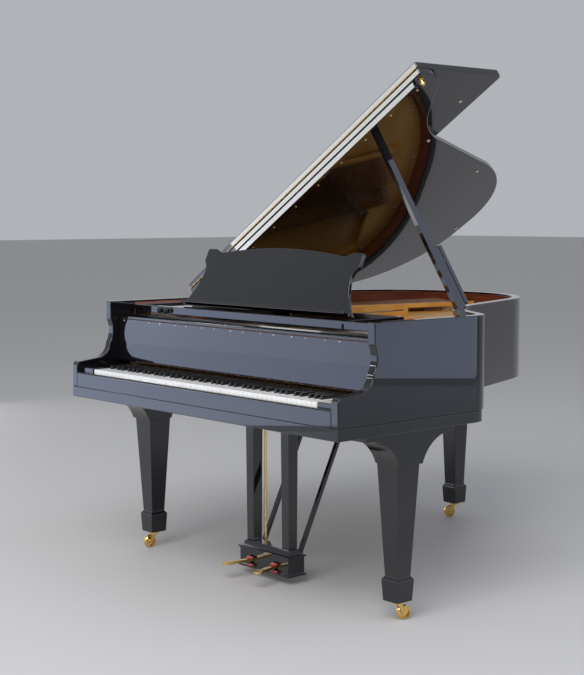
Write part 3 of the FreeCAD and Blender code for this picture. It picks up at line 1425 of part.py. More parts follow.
def make_pedal_box():
    """A box with a base and cap moulding, a bevelled plinth, and two slots for the pedals."""
    body = new_body("pedal_box")
    middle = ("0", "sizes.lyre_middle")
    wide, deep = "sizes.pedal_box_width", "sizes.pedal_box_depth"
    wider, deeper = f"({wide} + 2 * sizes.pedal_box_moulding)", f"({deep} + 2 * sizes.pedal_box_moulding)"
    level = "sizes.pedal_box_lift"
    for name, w, d, rise in (("base", wider, deeper, "sizes.pedal_base_height"),
                             ("body", wide, deep, "sizes.pedal_box_height"),
                             ("cap", wider, deeper, "sizes.pedal_cap_height")):
        plan = rectangle(body, f"pedal_box_{name}_plan", w, d, level, middle)
        padded(body, f"pedal_box_{name}", plan, rise)
        level = f"{level} + {rise}"
    bevel = "2 * sizes.plinth_chamfer"
    tapered(body.newObject, "PartDesign::AdditiveWedge", "plinth",
            ("sizes.plinth_width", "sizes.plinth_depth"),
            (f"(sizes.plinth_width - {bevel})", f"(sizes.plinth_depth - {bevel})"), "sizes.plinth_height",
            (*middle, level))
    slot_low = "sizes.pedal_height - sizes.pedal_slot_room"
    for side, sign in (("bass", -1), ("treble", 1)):
        x = f"{sign} * sizes.pedal_spacing / 2"
        slot = rectangle(body, f"pedal_slot_{side}_plan", "(sizes.pedal_width + 2 * sizes.pedal_side_gap)",
                         f"(4 * {deep})", slot_low, (x, "sizes.lyre_middle"))
        cut = body.newObject("PartDesign::Pocket", f"pedal_slot_{side}")
        cut.Profile = slot
        cut.setExpression("Length", "sizes.pedal_thickness + 2 * sizes.pedal_slot_room")
        cut.Reversed = True
        hole = rod_outline(body, f"rod_hole_{side}_plan", x)
        drill = body.newObject("PartDesign::Pocket", f"rod_hole_{side}")
        drill.Profile = hole
        drill.setExpression("Length", "sizes.keybed_underside")
        drill.Reversed = True
    keep(body, "pedal_box")


def rod_outline(body, name, x):
    """A circle for the pedal rod's hole, at the pedal's own level."""
    sketch = body.newObject("Sketcher::SketchObject", name)
    origin = [f for f in body.Origin.OriginFeatures if f.Role == "XY_Plane"][0]
    sketch.AttachmentSupport = [(origin, "")]
    sketch.MapMode = "FlatFace"
    sketch.setExpression("AttachmentOffset.Base.z", "sizes.pedal_height")
    place = (x, "sizes.lyre_middle + sizes.rod_back")
    centre = Vector(*[float(sheet.evalExpression(t.replace("sizes.", ""))) for t in place], 0)
    radius = size.rod_radius + size.rod_hole_gap
    sketch.addGeometry(Part.Circle(centre, Vector(0, 0, 1), radius), False)
    for kind, text, at in zip(("DistanceX", "DistanceY"), place, centre):
        number = sketch.addConstraint(Sketcher.Constraint(kind, -1, 1, 0, 3, at))
        sketch.setExpression(f"Constraints[{number}]", text)
    number = sketch.addConstraint(Sketcher.Constraint("Radius", 0, radius))
    sketch.setExpression(f"Constraints[{number}]", "sizes.rod_radius + sizes.rod_hole_gap")
    return sketch


def make_pedals():
    """Brass pedals that splay outwards to a rounded toe, and the rods that they lift."""
    front = size.lyre_middle - size.pedal_box_depth / 2 - size.pedal_box_moulding
    back = size.lyre_middle + size.pedal_pivot_back
    for name, sign in (("shift_pedal", -1), ("damper_pedal", 1)):
        x = sign * size.pedal_spacing / 2
        half = size.pedal_width / 2
        z = size.pedal_height
        lever = box_between((x - half, front, z), (x + half, back, z + size.pedal_thickness))
        neck = Vector(x, front, z)
        splay = math.radians(size.pedal_splay)
        out = Vector(sign * math.sin(splay), -math.cos(splay), 0)
        across = Vector(-out.y, out.x, 0)
        toe_half = size.pedal_toe_width / 2
        shank = neck + out * (size.pedal_reach - size.pedal_toe_length)
        tip = neck + out * size.pedal_reach
        shoulder = tip - out * toe_half
        edges = [Part.LineSegment(neck - across * half, shank - across * half),
                 Part.LineSegment(shank - across * half, shoulder - across * toe_half),
                 Part.Arc(shoulder - across * toe_half, tip, shoulder + across * toe_half),
                 Part.LineSegment(shoulder + across * toe_half, shank + across * half),
                 Part.LineSegment(shank + across * half, neck + across * half),
                 Part.LineSegment(neck + across * half, neck + Vector(half, half, 0)),
                 Part.LineSegment(neck + Vector(half, half, 0), neck + Vector(-half, half, 0)),
                 Part.LineSegment(neck + Vector(-half, half, 0), neck - across * half)]
        toe = Part.Face(Part.Wire(Part.__sortEdges__([e.toShape() for e in edges])))
        toe = toe.extrude(Vector(0, 0, size.pedal_thickness))
        formed(name, lever.fuse(toe).removeSplitter())

        rod_low = "sizes.pedal_height + sizes.pedal_thickness + sizes.rod_seat_gap"
        rod = round_bar(f"{name}_rod_bar", "sizes.rod_radius",
                        f"{RIM_BOTTOM_EXPR} - sizes.rod_top - ({rod_low})",
                        (f"{sign} * sizes.pedal_spacing / 2", "sizes.lyre_middle + sizes.rod_back", rod_low))
        keep(rod, f"{name}_rod")


make_case()
make_belly()
make_strings()
make_plate()
make_keys()
make_action()
make_fallboard()
make_desk()
make_lid()
make_prop()
make_legs()
make_castors()
make_lyre()
doc.recompute()

for obj in doc.Objects:
    if "Invalid" in obj.State or "Error" in obj.State:
        raise RuntimeError(f"{obj.Label} did not recompute: {obj.State}")
for obj in pieces:
    if obj.Shape.isNull() or not obj.Shape.isValid() or not obj.Shape.Solids:
        raise RuntimeError(f"{obj.Label} has no valid solid")

os.makedirs("parts", exist_ok=True)
for obj in pieces:
    obj.Shape.exportStep(f"parts/{obj.Label}.step")
print(len(pieces), "pieces,", sum(len(obj.Shape.Solids) for obj in pieces), "solids")
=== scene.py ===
"""Looks of a polished black grand piano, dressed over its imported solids. Lengths are metres."""

import json
import math

import bmesh
import bpy
import numpy as np
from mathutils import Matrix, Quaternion, Vector


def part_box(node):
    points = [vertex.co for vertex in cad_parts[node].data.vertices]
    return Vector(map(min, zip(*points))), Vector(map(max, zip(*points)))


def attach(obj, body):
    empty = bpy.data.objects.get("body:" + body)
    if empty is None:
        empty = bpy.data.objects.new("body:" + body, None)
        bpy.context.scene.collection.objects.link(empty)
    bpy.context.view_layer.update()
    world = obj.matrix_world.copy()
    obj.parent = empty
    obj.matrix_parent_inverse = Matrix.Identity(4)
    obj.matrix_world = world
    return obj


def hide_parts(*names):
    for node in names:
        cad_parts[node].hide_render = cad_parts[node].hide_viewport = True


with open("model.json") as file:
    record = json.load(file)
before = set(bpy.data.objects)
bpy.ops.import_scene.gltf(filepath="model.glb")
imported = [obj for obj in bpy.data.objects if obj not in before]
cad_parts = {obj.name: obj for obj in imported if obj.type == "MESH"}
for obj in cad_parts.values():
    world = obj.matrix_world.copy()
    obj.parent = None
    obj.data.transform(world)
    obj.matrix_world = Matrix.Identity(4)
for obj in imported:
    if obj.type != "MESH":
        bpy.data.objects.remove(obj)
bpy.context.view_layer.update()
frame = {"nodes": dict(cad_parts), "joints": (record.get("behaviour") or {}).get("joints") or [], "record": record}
nodes = frame["nodes"]
joints = {joint["name"]: joint for joint in frame["joints"]}
body_of = {
    node: body
    for body, names in frame["record"]["behaviour"]["bodies"].items()
    for node in names
}
slot_of = {entry["node"]: entry["material_slot"] for entry in frame["record"]["subparts"]}


# Finishes

NOISE_LOW = 0.3
NOISE_HIGH = 0.7
PORES_PER_STREAK = 7
PATCH_SCALE = 60.0
SCRATCH_SCALE = 360.0
MIX_FACTOR, MIX_FIRST, MIX_SECOND, MIX_RESULT = 0, 6, 7, 2
STICK_DARK = (0.40, 0.25, 0.12)
STICK_LIGHT = (0.60, 0.42, 0.24)


def shader(name, color, rough, metal=0.0, coat=0.0, coat_rough=0.03, sheen=0.0, specular=0.5):
    """A material whose uniform values sit on the Principled shader's own sockets."""
    mat = bpy.data.materials.new(name)
    mat.use_nodes = True
    bsdf = mat.node_tree.nodes["Principled BSDF"]
    bsdf.inputs["Base Color"].default_value = (*color, 1.0)
    bsdf.inputs["Roughness"].default_value = rough
    bsdf.inputs["Metallic"].default_value = metal
    bsdf.inputs["Specular IOR Level"].default_value = specular
    bsdf.inputs["Coat Weight"].default_value = coat
    bsdf.inputs["Coat Roughness"].default_value = coat_rough
    bsdf.inputs["Sheen Weight"].default_value = sheen
    mat.diffuse_color = (*color, 1.0)
    return mat, bsdf


def add(mat, kind, **values):
    """A node with its plain attributes and input values set by name."""
    node = mat.node_tree.nodes.new(kind)
    for key, value in values.items():
        if key in node.inputs:
            node.inputs[key].default_value = value
        else:
            setattr(node, key, value)
    return node


def wire(mat, source, target):
    """A link from one socket to the next."""
    mat.node_tree.links.new(source, target)


def object_space(mat, stretch=(1, 1, 1)):
    """Object coordinates, stretched for a grain."""
    place = add(mat, "ShaderNodeTexCoord")
    mapping = add(mat, "ShaderNodeMapping", Scale=stretch)
    wire(mat, place.outputs["Object"], mapping.inputs["Vector"])
    return mapping.outputs["Vector"]


def noise(mat, vector, scale, detail, roughness=0.5):
    """Fractal noise at a scale, read at a place."""
    node = add(mat, "ShaderNodeTexNoise", Scale=scale, Detail=detail, Roughness=roughness)
    wire(mat, vector, node.inputs["Vector"])
    return node.outputs["Fac"]


def ramp(mat, fac, stops):
    """A colour ramp over pairs of position and colour."""
    node = add(mat, "ShaderNodeValToRGB")
    elements = node.color_ramp.elements
    while len(elements) < len(stops):
        elements.new(0.5)
    for element, (at, color) in zip(elements, stops):
        element.position = at
        element.color = (*color, 1.0)
    wire(mat, fac, node.inputs["Fac"])
    return node.outputs["Color"]


def span(mat, fac, low, high):
    """Noise spread from one value to another."""
    node = add(mat, "ShaderNodeMapRange")
    node.inputs["From Min"].default_value = NOISE_LOW
    node.inputs["From Max"].default_value = NOISE_HIGH
    node.inputs["To Min"].default_value = low
    node.inputs["To Max"].default_value = high
    wire(mat, fac, node.inputs["Value"])
    return node.outputs["Result"]


def bump(mat, bsdf, height, strength, distance):
    """Relief of the surface from a height."""
    node = add(mat, "ShaderNodeBump", Strength=strength, Distance=distance)
    wire(mat, height, node.inputs["Height"])
    wire(mat, node.outputs["Normal"], bsdf.inputs["Normal"])


def lacquer(name, color, tint):
    """Polished lacquer: near-black with a faint cloudiness, polishing marks and soft waviness."""
    mat, bsdf = shader(name, color, rough=0.10, coat=1.0, coat_rough=0.012, specular=0.15)
    place = object_space(mat)
    cloud = noise(mat, place, scale=3.0, detail=3.0)
    wire(mat, ramp(mat, cloud, [(0.35, color), (0.65, tint)]), bsdf.inputs["Base Color"])
    marks = noise(mat, object_space(mat, (40, 40, 9)), scale=6.0, detail=6.0, roughness=0.6)
    wire(mat, span(mat, marks, low=0.05, high=0.14), bsdf.inputs["Roughness"])
    waves = noise(mat, place, scale=22.0, detail=2.0)
    bump(mat, bsdf, waves, strength=0.010, distance=0.004)
    return mat


def grained(name, dark, light, rough, coat, stretch, scale):
    """Wood: streaks of noise drawn out along the grain, with fine pores in relief."""
    mat, bsdf = shader(name, light, rough, coat=coat, coat_rough=0.12)
    place = object_space(mat, stretch)
    streak = noise(mat, place, scale, detail=8.0, roughness=0.62)
    middle = [0.5 * (a + b) for a, b in zip(dark, light)]
    color = ramp(mat, streak, [(0.3, dark), (0.52, middle), (0.7, light)])
    wire(mat, color, bsdf.inputs["Base Color"])
    pores = noise(mat, place, scale * PORES_PER_STREAK, detail=4.0, roughness=0.7)
    wire(mat, span(mat, pores, low=rough - 0.08, high=rough + 0.1), bsdf.inputs["Roughness"])
    bump(mat, bsdf, pores, strength=0.12, distance=0.0006)
    return mat


def metal(name, color, tarnish, rough):
    """Metal: the plain colour with patches of tarnish and fine scratches."""
    mat, bsdf = shader(name, color, rough, metal=1.0)
    patch = noise(mat, object_space(mat), PATCH_SCALE, detail=5.0, roughness=0.6)
    wire(mat, ramp(mat, patch, [(0.35, tarnish), (0.6, color)]), bsdf.inputs["Base Color"])
    scratch = noise(mat, object_space(mat, (1, 1, 14)), SCRATCH_SCALE, detail=3.0)
    wire(mat, span(mat, scratch, low=0.7 * rough, high=1.5 * rough), bsdf.inputs["Roughness"])
    bump(mat, bsdf, scratch, strength=0.05, distance=0.0003)
    return mat


def plate_paint(name, color, shade):
    """Gold bronze paint on cast iron: metallic flakes over a slightly pebbled casting."""
    mat, bsdf = shader(name, color, rough=0.34, metal=0.5, coat=0.25, coat_rough=0.2)
    place = object_space(mat)
    cloud = noise(mat, place, scale=9.0, detail=4.0)
    wire(mat, ramp(mat, cloud, [(0.3, shade), (0.62, color)]), bsdf.inputs["Base Color"])
    grit = noise(mat, place, scale=420.0, detail=4.0, roughness=0.7)
    wire(mat, span(mat, grit, low=0.26, high=0.44), bsdf.inputs["Roughness"])
    bump(mat, bsdf, grit, strength=0.14, distance=0.0008)
    return mat


def felt_cloth(name, color, shade):
    """Felt: matted fibres as fine noise, with a soft sheen."""
    mat, bsdf = shader(name, color, rough=0.95, sheen=0.5)
    fibre = noise(mat, object_space(mat), scale=700.0, detail=6.0, roughness=0.75)
    wire(mat, ramp(mat, fibre, [(0.3, shade), (0.65, color)]), bsdf.inputs["Base Color"])
    bump(mat, bsdf, fibre, strength=0.5, distance=0.0012)
    return mat


def bare_stick(mat, place, covering):
    """The covering's colour in front of the fallboard's hinge line, and bare wood behind it."""
    grain = noise(mat, object_space(mat, (24, 2, 24)), scale=6.0, detail=8.0, roughness=0.62)
    wood = ramp(mat, grain, [(0.3, STICK_DARK), (0.7, STICK_LIGHT)])
    apart = add(mat, "ShaderNodeSeparateXYZ")
    wire(mat, place, apart.inputs["Vector"])
    behind = add(mat, "ShaderNodeMath", operation="GREATER_THAN")
    behind.inputs[1].default_value = joints["fallboard_hinge"]["pos_m"][1]
    wire(mat, apart.outputs["Y"], behind.inputs[0])
    choice = add(mat, "ShaderNodeMix", data_type="RGBA")
    wire(mat, behind.outputs["Value"], choice.inputs[MIX_FACTOR])
    wire(mat, covering, choice.inputs[MIX_FIRST])
    wire(mat, wood, choice.inputs[MIX_SECOND])
    return choice.outputs[MIX_RESULT]


def key_plastic(name, color, shade, rough, coat, stick=False):
    """Smooth moulded plastic, a little worn by fingers; on a key it covers a wooden stick."""
    mat, bsdf = shader(name, color, rough, coat=coat, coat_rough=0.08, specular=0.35)
    place = object_space(mat)
    cloud = noise(mat, place, scale=14.0, detail=3.0)
    covering = ramp(mat, cloud, [(0.3, shade), (0.6, color)])
    wire(mat, bare_stick(mat, place, covering) if stick else covering, bsdf.inputs["Base Color"])
    wear = noise(mat, place, scale=90.0, detail=5.0)
    wire(mat, span(mat, wear, low=0.75 * rough, high=1.3 * rough), bsdf.inputs["Roughness"])
    bump(mat, bsdf, wear, strength=0.02, distance=0.0005)
    return mat


BLACK = {
    "color": (0.008, 0.008, 0.009), "shade": (0.014, 0.014, 0.015), "rough": 0.24, "coat": 0.1,
}
EBONY = lacquer("ebony_lacquer", color=(0.0035, 0.0035, 0.0045), tint=(0.006, 0.006, 0.008))
MAHOGANY = grained(
    "mahogany", dark=(0.11, 0.020, 0.009), light=(0.27, 0.062, 0.024),
    rough=0.22, coat=0.5, stretch=(1.2, 1.2, 24), scale=5.0,
)
MAPLE = grained(
    "maple", dark=(0.42, 0.27, 0.14), light=(0.62, 0.44, 0.26),
    rough=0.45, coat=0.1, stretch=(2, 2, 26), scale=6.0,
)
SPRUCE = grained(
    "spruce", dark=(0.50, 0.24, 0.05), light=(0.78, 0.42, 0.11),
    rough=0.32, coat=0.4, stretch=(38, 5, 1), scale=5.0,
)
PLATE_GOLD = plate_paint("plate_gold", color=(0.84, 0.45, 0.10), shade=(0.68, 0.33, 0.06))
STEEL = metal("string_steel", (0.60, 0.60, 0.62), tarnish=(0.42, 0.41, 0.41), rough=0.26)
COPPER = metal("copper_winding", (0.56, 0.28, 0.13), tarnish=(0.34, 0.15, 0.07), rough=0.32)
BRASS = metal("polished_brass", (0.86, 0.60, 0.22), tarnish=(0.70, 0.46, 0.15), rough=0.14)
DARK_BRONZE = metal("dark_bronze", (0.20, 0.115, 0.065), tarnish=(0.10, 0.055, 0.035), rough=0.35)
RED_FELT = felt_cloth("red_felt", color=(0.56, 0.012, 0.024), shade=(0.34, 0.006, 0.013))
HAMMER_FELT = felt_cloth("hammer_felt", color=(0.82, 0.76, 0.64), shade=(0.62, 0.56, 0.44))
IVORY = key_plastic(
    "ivory_plastic", color=(0.82, 0.81, 0.79), shade=(0.76, 0.75, 0.71),
    rough=0.18, coat=0.3, stick=True,
)
SHARP_KEY = key_plastic("sharp_key", stick=True, **BLACK)
SHARP_BLACK = key_plastic("sharp_black", **BLACK)

SLOT_FINISH = {
    "ebony_lacquer": EBONY,
    "mahogany": MAHOGANY,
    "maple": MAPLE,
    "spruce": SPRUCE,
    "iron": PLATE_GOLD,
    "steel": STEEL,
    "copper": COPPER,
    "brass": BRASS,
    "felt": RED_FELT,
    "hammer_felt": HAMMER_FELT,
    "ivory_plastic": IVORY,
    "black_plastic": SHARP_KEY,
    "damper_wood": SHARP_BLACK,
}


def dress_nodes():
    """Each solid takes the finish of its slot in the record."""
    for name, slot in slot_of.items():
        obj = nodes[name]
        obj.data.materials.clear()
        obj.data.materials.append(SLOT_FINISH[slot])


# Rounded edges

EDGE_ROUND = {
    "outer_rim": 0.0030, "keybed": 0.0025, "key_slip": 0.0015, "cheek_blocks": 0.0030,
    "stretcher": 0.0020, "leg_bass": 0.0022, "leg_treble": 0.0022, "leg_tail": 0.0022,
    "lyre_top_block": 0.0025, "lyre_pillars": 0.0020, "pedal_box": 0.0015, "lyre_braces": 0.0020,
    "lid_main": 0.0040, "lid_flap": 0.0040, "lid_batten": 0.0020, "lid_prop": 0.0035,
    "short_prop": 0.0020, "prop_block": 0.0012, "fallboard": 0.0022, "fallboard_lip": 0.0022,
    "desk_rails": 0.0015, "desk_tray": 0.0045, "desk_panel": 0.0022, "desk_strut": 0.0010,
    "natural_keys": 0.0008, "sharp_keys": 0.0012, "iron_plate": 0.0022, "string_bridges": 0.0015,
    "rim_lining": 0.0010, "lid_hinges": 0.0010, "damper_pedal": 0.0030, "shift_pedal": 0.0030,
    "castor_sockets": 0.0012, "castor_fork_bass": 0.0009, "castor_fork_treble": 0.0009,
    "castor_fork_tail": 0.0009, "case_braces": 0.0020, "key_frame": 0.0015,
    "hammer_rail": 0.0015, "natural_dampers": 0.0004, "sharp_dampers": 0.0004,
}
SHARP_ANGLE = math.radians(28)
FLAT_ANGLE = math.radians(0.4)
SAME_POINT = 1e-5
ROUND_SEGMENTS = 2


def rounded_copy(name, width):
    """A solid with its facets joined and its sharp edges rounded over, shown in its place."""
    source = nodes[name]
    mesh = source.data.copy()
    mesh.transform(source.matrix_world)
    shape = bmesh.new()
    shape.from_mesh(mesh)
    bmesh.ops.remove_doubles(shape, verts=shape.verts, dist=SAME_POINT)
    bmesh.ops.dissolve_limit(shape, angle_limit=FLAT_ANGLE, verts=shape.verts, edges=shape.edges)
    shape.to_mesh(mesh)
    shape.free()
    mesh.shade_smooth()
    mesh.set_sharp_from_angle(angle=SHARP_ANGLE)
    obj = bpy.data.objects.new(f"{name}_rounded", mesh)
    bpy.context.collection.objects.link(obj)
    edge = obj.modifiers.new("rounded_edges", "BEVEL")
    edge.width = width
    edge.segments = ROUND_SEGMENTS
    edge.limit_method = "ANGLE"
    edge.angle_limit = SHARP_ANGLE
    edge.harden_normals = True
    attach(obj, body_of[name])
    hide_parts(name)


# Shaped pieces

CREASE_ANGLE = math.radians(40)
UPRIGHT_LIMIT = 0.9
PILLOW_STEPS = 10
BARREL_SIDES = 8
HINGE_KNUCKLE = 0.030
KNUCKLE_STEPS = (0.0, 0.05, 0.95)
KNUCKLE_WIDTHS = (0.72, 1.0, 1.0)
SCREW_PROFILE = [(1.0, 0.0), (0.96, 0.22), (0.72, 0.42), (0.30, 0.52), (0.001, 0.53)]
SCREW_SIDES = 8


def place_piece(name, points, faces, finish, body, replaced=()):
    """A piece of four-sided faces, moving with a body and shown for the nodes it replaces."""
    mesh = bpy.data.meshes.new(name)
    mesh.from_pydata(points.tolist(), [], faces.tolist())
    mesh.materials.append(finish)
    mesh.shade_smooth()
    mesh.set_sharp_from_angle(angle=CREASE_ANGLE)
    obj = bpy.data.objects.new(name, mesh)
    bpy.context.collection.objects.link(obj)
    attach(obj, body)
    if replaced:
        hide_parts(*replaced)


def grid_faces(rows, columns):
    """Faces of a grid of rows and columns that closes round along its columns."""
    row, column = np.meshgrid(np.arange(rows - 1), np.arange(columns), indexing="ij")
    after = (column + 1) % columns
    this_row = row * columns
    next_row = this_row + columns
    corners = (this_row + column, this_row + after, next_row + after, next_row + column)
    return np.stack(corners, axis=-1).reshape(-1, 4)


def axes_along(direction):
    """Three unit vectors at right angles, the last along a direction."""
    along = np.array(direction, dtype=float)
    along /= np.linalg.norm(along)
    side = np.cross(along, (0, 0, 1) if abs(along[2]) < UPRIGHT_LIMIT else (1, 0, 0))
    side /= np.linalg.norm(side)
    return np.stack([side, np.cross(along, side), along])


def turned(profile, sides):
    """A turned shape: a profile of radius and height swept round the height axis in even steps."""
    radius, height = np.array(profile, dtype=float).T
    angle = np.arange(sides) * (2 * math.pi / sides)
    ring = np.stack([np.cos(angle), np.sin(angle)], axis=-1)
    flat = radius[:, None, None] * ring[None]
    tall = np.broadcast_to(height[:, None, None], (*flat.shape[:2], 1))
    return np.concatenate([flat, tall], axis=-1).reshape(-1, 3), grid_faces(len(radius), sides)


def repeated(points, faces, places, direction=(0, 0, 1)):
    """Copies of one shape at many places, each standing along the same direction."""
    stood = points @ axes_along(direction)
    places = np.asarray(places, dtype=float)
    shift = np.arange(len(places))[:, None, None] * len(points)
    return (places[:, None] + stood[None]).reshape(-1, 3), (faces[None] + shift).reshape(-1, 4)


def solid_boxes(name, corners_each):
    """Low and high corners of each loose solid of a node whose solids have equally many points."""
    mesh = nodes[name].data
    points = np.empty(3 * len(mesh.vertices))
    mesh.vertices.foreach_get("co", points)
    solids = points.reshape(-1, corners_each, 3)
    return solids.min(axis=1), solids.max(axis=1)


def pillow(centre, half, power):
    """A soft-edged block: a super-ellipsoid, cosines and sines of two angles raised to a power."""
    up = np.linspace(-math.pi / 2, math.pi / 2, PILLOW_STEPS)
    around = np.arange(2 * PILLOW_STEPS) * (math.pi / PILLOW_STEPS)

    def shaped(value):
        return np.sign(value) * np.abs(value) ** power

    x = shaped(np.cos(up))[:, None] * shaped(np.cos(around))[None]
    y = shaped(np.cos(up))[:, None] * shaped(np.sin(around))[None]
    z = np.broadcast_to(shaped(np.sin(up))[:, None], x.shape)
    points = np.stack([x, y, z], axis=-1).reshape(-1, 3) * np.array(half) + np.array(centre)
    return points, grid_faces(PILLOW_STEPS, 2 * PILLOW_STEPS)


def hinge_barrel(name, start, end, radius, finish, body, replaced=()):
    """A long hinge: a barrel along a line whose radius drops at the seam between two knuckles."""
    length = np.linalg.norm(end - start)
    count = max(int(length / HINGE_KNUCKLE), 1)
    steps = np.arange(count)[:, None] + np.array(KNUCKLE_STEPS)[None]
    along = (steps * (length / count)).ravel()
    wide = np.tile(np.array(KNUCKLE_WIDTHS) * radius, count)
    points, faces = turned(np.stack([wide, along], axis=-1), BARREL_SIDES)
    points = points @ axes_along(end - start) + start
    place_piece(name, points, faces, finish, body, replaced)


def screws(name, places, direction, radius, finish, body):
    """Domed screw heads standing off a surface."""
    points, faces = turned(np.array(SCREW_PROFILE) * radius, SCREW_SIDES)
    points, faces = repeated(points, faces, places, direction)
    place_piece(name, points, faces, finish, body)


# Lid details

LID_THICKNESS = 0.024
FLAP_SEAT = 0.0003
LID_SCREW_STEP = 0.146
LID_SCREW_INSET = 0.09
LID_SCREW_ROW = 0.066
LID_SCREW_RADIUS = 0.0055
BUFFER_PROFILE = [(0.006, 0.0), (0.006, 0.003), (0.0045, 0.0045), (0.0005, 0.005)]
BUFFER_SIDES = 12
BUFFERS = {
    "lid": (-LID_THICKNESS - FLAP_SEAT, [(0.412, 0.370), (0.227, 0.810), (-0.205, 1.090)]),
    "front_lid": (FLAP_SEAT, [(0.619, 0.359)]),
}
LID_KNOB_PROFILE = [
    (0.009, 0.0), (0.009, 0.003), (0.005, 0.005), (0.0045, 0.012),
    (0.0085, 0.016), (0.0085, 0.022), (0.005, 0.026), (0.0005, 0.027),
]
LID_KNOB_INSET = 0.030
LID_KNOB_GAP = 0.006
KNOB_SIDES = 16


def lid_lines():
    """A point on the front lid's hinge line, the direction up the lid, and the lid's normal."""
    hinge = joints["front_lid_hinge"]
    along = np.array(hinge["axis"])
    return np.array(hinge["pos_m"]), along, np.array([-along[2], 0.0, along[0]])


def lid_details():
    """The hinge between the lids, the screws behind the batten, the felt buffers and the knob."""
    middle, along, normal = lid_lines()
    low, high = (np.array(c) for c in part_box("flap_hinge"))
    reach = (np.array([low[0], high[0]]) - middle[0]) / along[0]
    radius = (high[1] - low[1]) / 2
    shrink = radius * along[2] / along[0]
    start = middle + along * (reach[0] + shrink)
    end = middle + along * (reach[1] - shrink)
    hinge_barrel("front_lid_hinge_barrel", start, end, radius, BRASS, "lid", ["flap_hinge"])

    under = middle - normal * (LID_THICKNESS + FLAP_SEAT)
    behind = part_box("lid_batten")[1][1] - middle[1]
    count = int((reach[1] - reach[0]) / LID_SCREW_STEP)
    steps = reach[1] - LID_SCREW_INSET - np.arange(count) * LID_SCREW_STEP
    row = under + steps[:, None] * along + np.array([0, LID_SCREW_ROW, 0])
    screws("lid_screws", row, -normal, LID_SCREW_RADIUS, BRASS, "lid")

    for body, (level, spots) in BUFFERS.items():
        spread = np.array([up * along + (0, back, 0) for up, back in spots])
        points, faces = turned(BUFFER_PROFILE, BUFFER_SIDES)
        points, faces = repeated(points, faces, middle + level * normal + spread, -normal)
        place_piece(f"{body}_buffers", points, faces, HAMMER_FELT, body)

    foot = under + along * (reach[1] - LID_KNOB_INSET) + np.array([0, behind + LID_KNOB_GAP, 0])
    points, faces = turned(LID_KNOB_PROFILE, KNOB_SIDES)
    points, faces = repeated(points, faces, [foot], -normal)
    place_piece("lid_knob", points, faces, BRASS, "lid")


# Keyboard, fallboard and desk details

LIP_INSET = 0.004
LIP_BARREL_RADIUS = 0.0022
LIP_SCREW_STEPS = (0.093, 0.068)
LIP_SCREW_START = 0.03
LIP_SCREW_DROP = 0.0075
LIP_SCREW_RADIUS = 0.0032
KEY_FELT_HALF = (0.004, 0.002)
KEY_FELT_FORWARD = 0.013
KEY_FELT_RISE = 0.0035
KEY_FELT_PAST = 0.002
KEY_FELT_POWER = 0.2
CATCH_PLATE_AT = 0.474
CATCH_PLATE_OUT = 0.002
CATCH_PLATE_HALF = (0.040, 0.0035, 0.010)
CATCH_PLATE_POWER = 0.3
CATCH_KNOBS_AT = (0.500, 0.456)
CATCH_KNOB_PROFILE = [
    (0.007, 0.0), (0.007, 0.006), (0.010, 0.008), (0.010, 0.014), (0.007, 0.017), (0.0005, 0.018),
]


def fallboard_details():
    """The lip's hinge along the fallboard's top edge and the screws of its leaf."""
    pivot = np.array(joints["fallboard_lip_hinge"]["pos_m"])
    low, high = (np.array(c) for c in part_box("fallboard_lip"))
    start = np.array([low[0] + LIP_INSET, *pivot[1:]])
    end = np.array([high[0] - LIP_INSET, *pivot[1:]])
    hinge_barrel("lip_hinge_barrel", start, end, LIP_BARREL_RADIUS, DARK_BRONZE, "fallboard")

    up = pivot - np.array(joints["fallboard_hinge"]["pos_m"])
    up[0] = 0
    up /= np.linalg.norm(up)
    face = np.array([0, -up[2], up[1]])
    pairs = int((high[0] - low[0]) / sum(LIP_SCREW_STEPS))
    steps = np.cumsum(np.tile(LIP_SCREW_STEPS, pairs))
    places = np.zeros((len(steps), 3)) + pivot - up * LIP_SCREW_DROP
    places[:, 0] = low[0] + LIP_SCREW_START + steps - LIP_SCREW_STEPS[0]
    screws("lip_screws", places, face, LIP_SCREW_RADIUS, STEEL, "fallboard")


def key_felt():
    """A felt strip across the keys at the foot of the fallboard."""
    keys_low, keys_high = (np.array(c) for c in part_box("natural_keys"))
    foot = np.array(joints["fallboard_hinge"]["pos_m"])
    middle = (keys_low[0] + keys_high[0]) / 2
    reach = (keys_high[0] - keys_low[0]) / 2 + KEY_FELT_PAST
    centre = (middle, foot[1] - KEY_FELT_FORWARD, keys_high[2] + KEY_FELT_RISE)
    points, faces = pillow(centre, (reach, *KEY_FELT_HALF), KEY_FELT_POWER)
    place_piece("key_felt", points, faces, RED_FELT, "case")


def tray_catch():
    """The catch at the bass end of the tray's front bar: a plate and two round knobs."""
    low, high = (np.array(c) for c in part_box("desk_tray"))
    middle = (low[0] + high[0]) / 2
    level = (low[2] + high[2]) / 2
    centre = (middle - CATCH_PLATE_AT, low[1] - CATCH_PLATE_OUT, level)
    points, faces = pillow(centre, CATCH_PLATE_HALF, CATCH_PLATE_POWER)
    place_piece("catch_plate", points, faces, SHARP_BLACK, "desk_tray")
    points, faces = turned(CATCH_KNOB_PROFILE, KNOB_SIDES)
    places = [(middle - at, low[1], level) for at in CATCH_KNOBS_AT]
    points, faces = repeated(points, faces, places, (0, -1, 0))
    place_piece("catch_knobs", points, faces, SHARP_BLACK, "desk_tray")


# Lyre and castor details

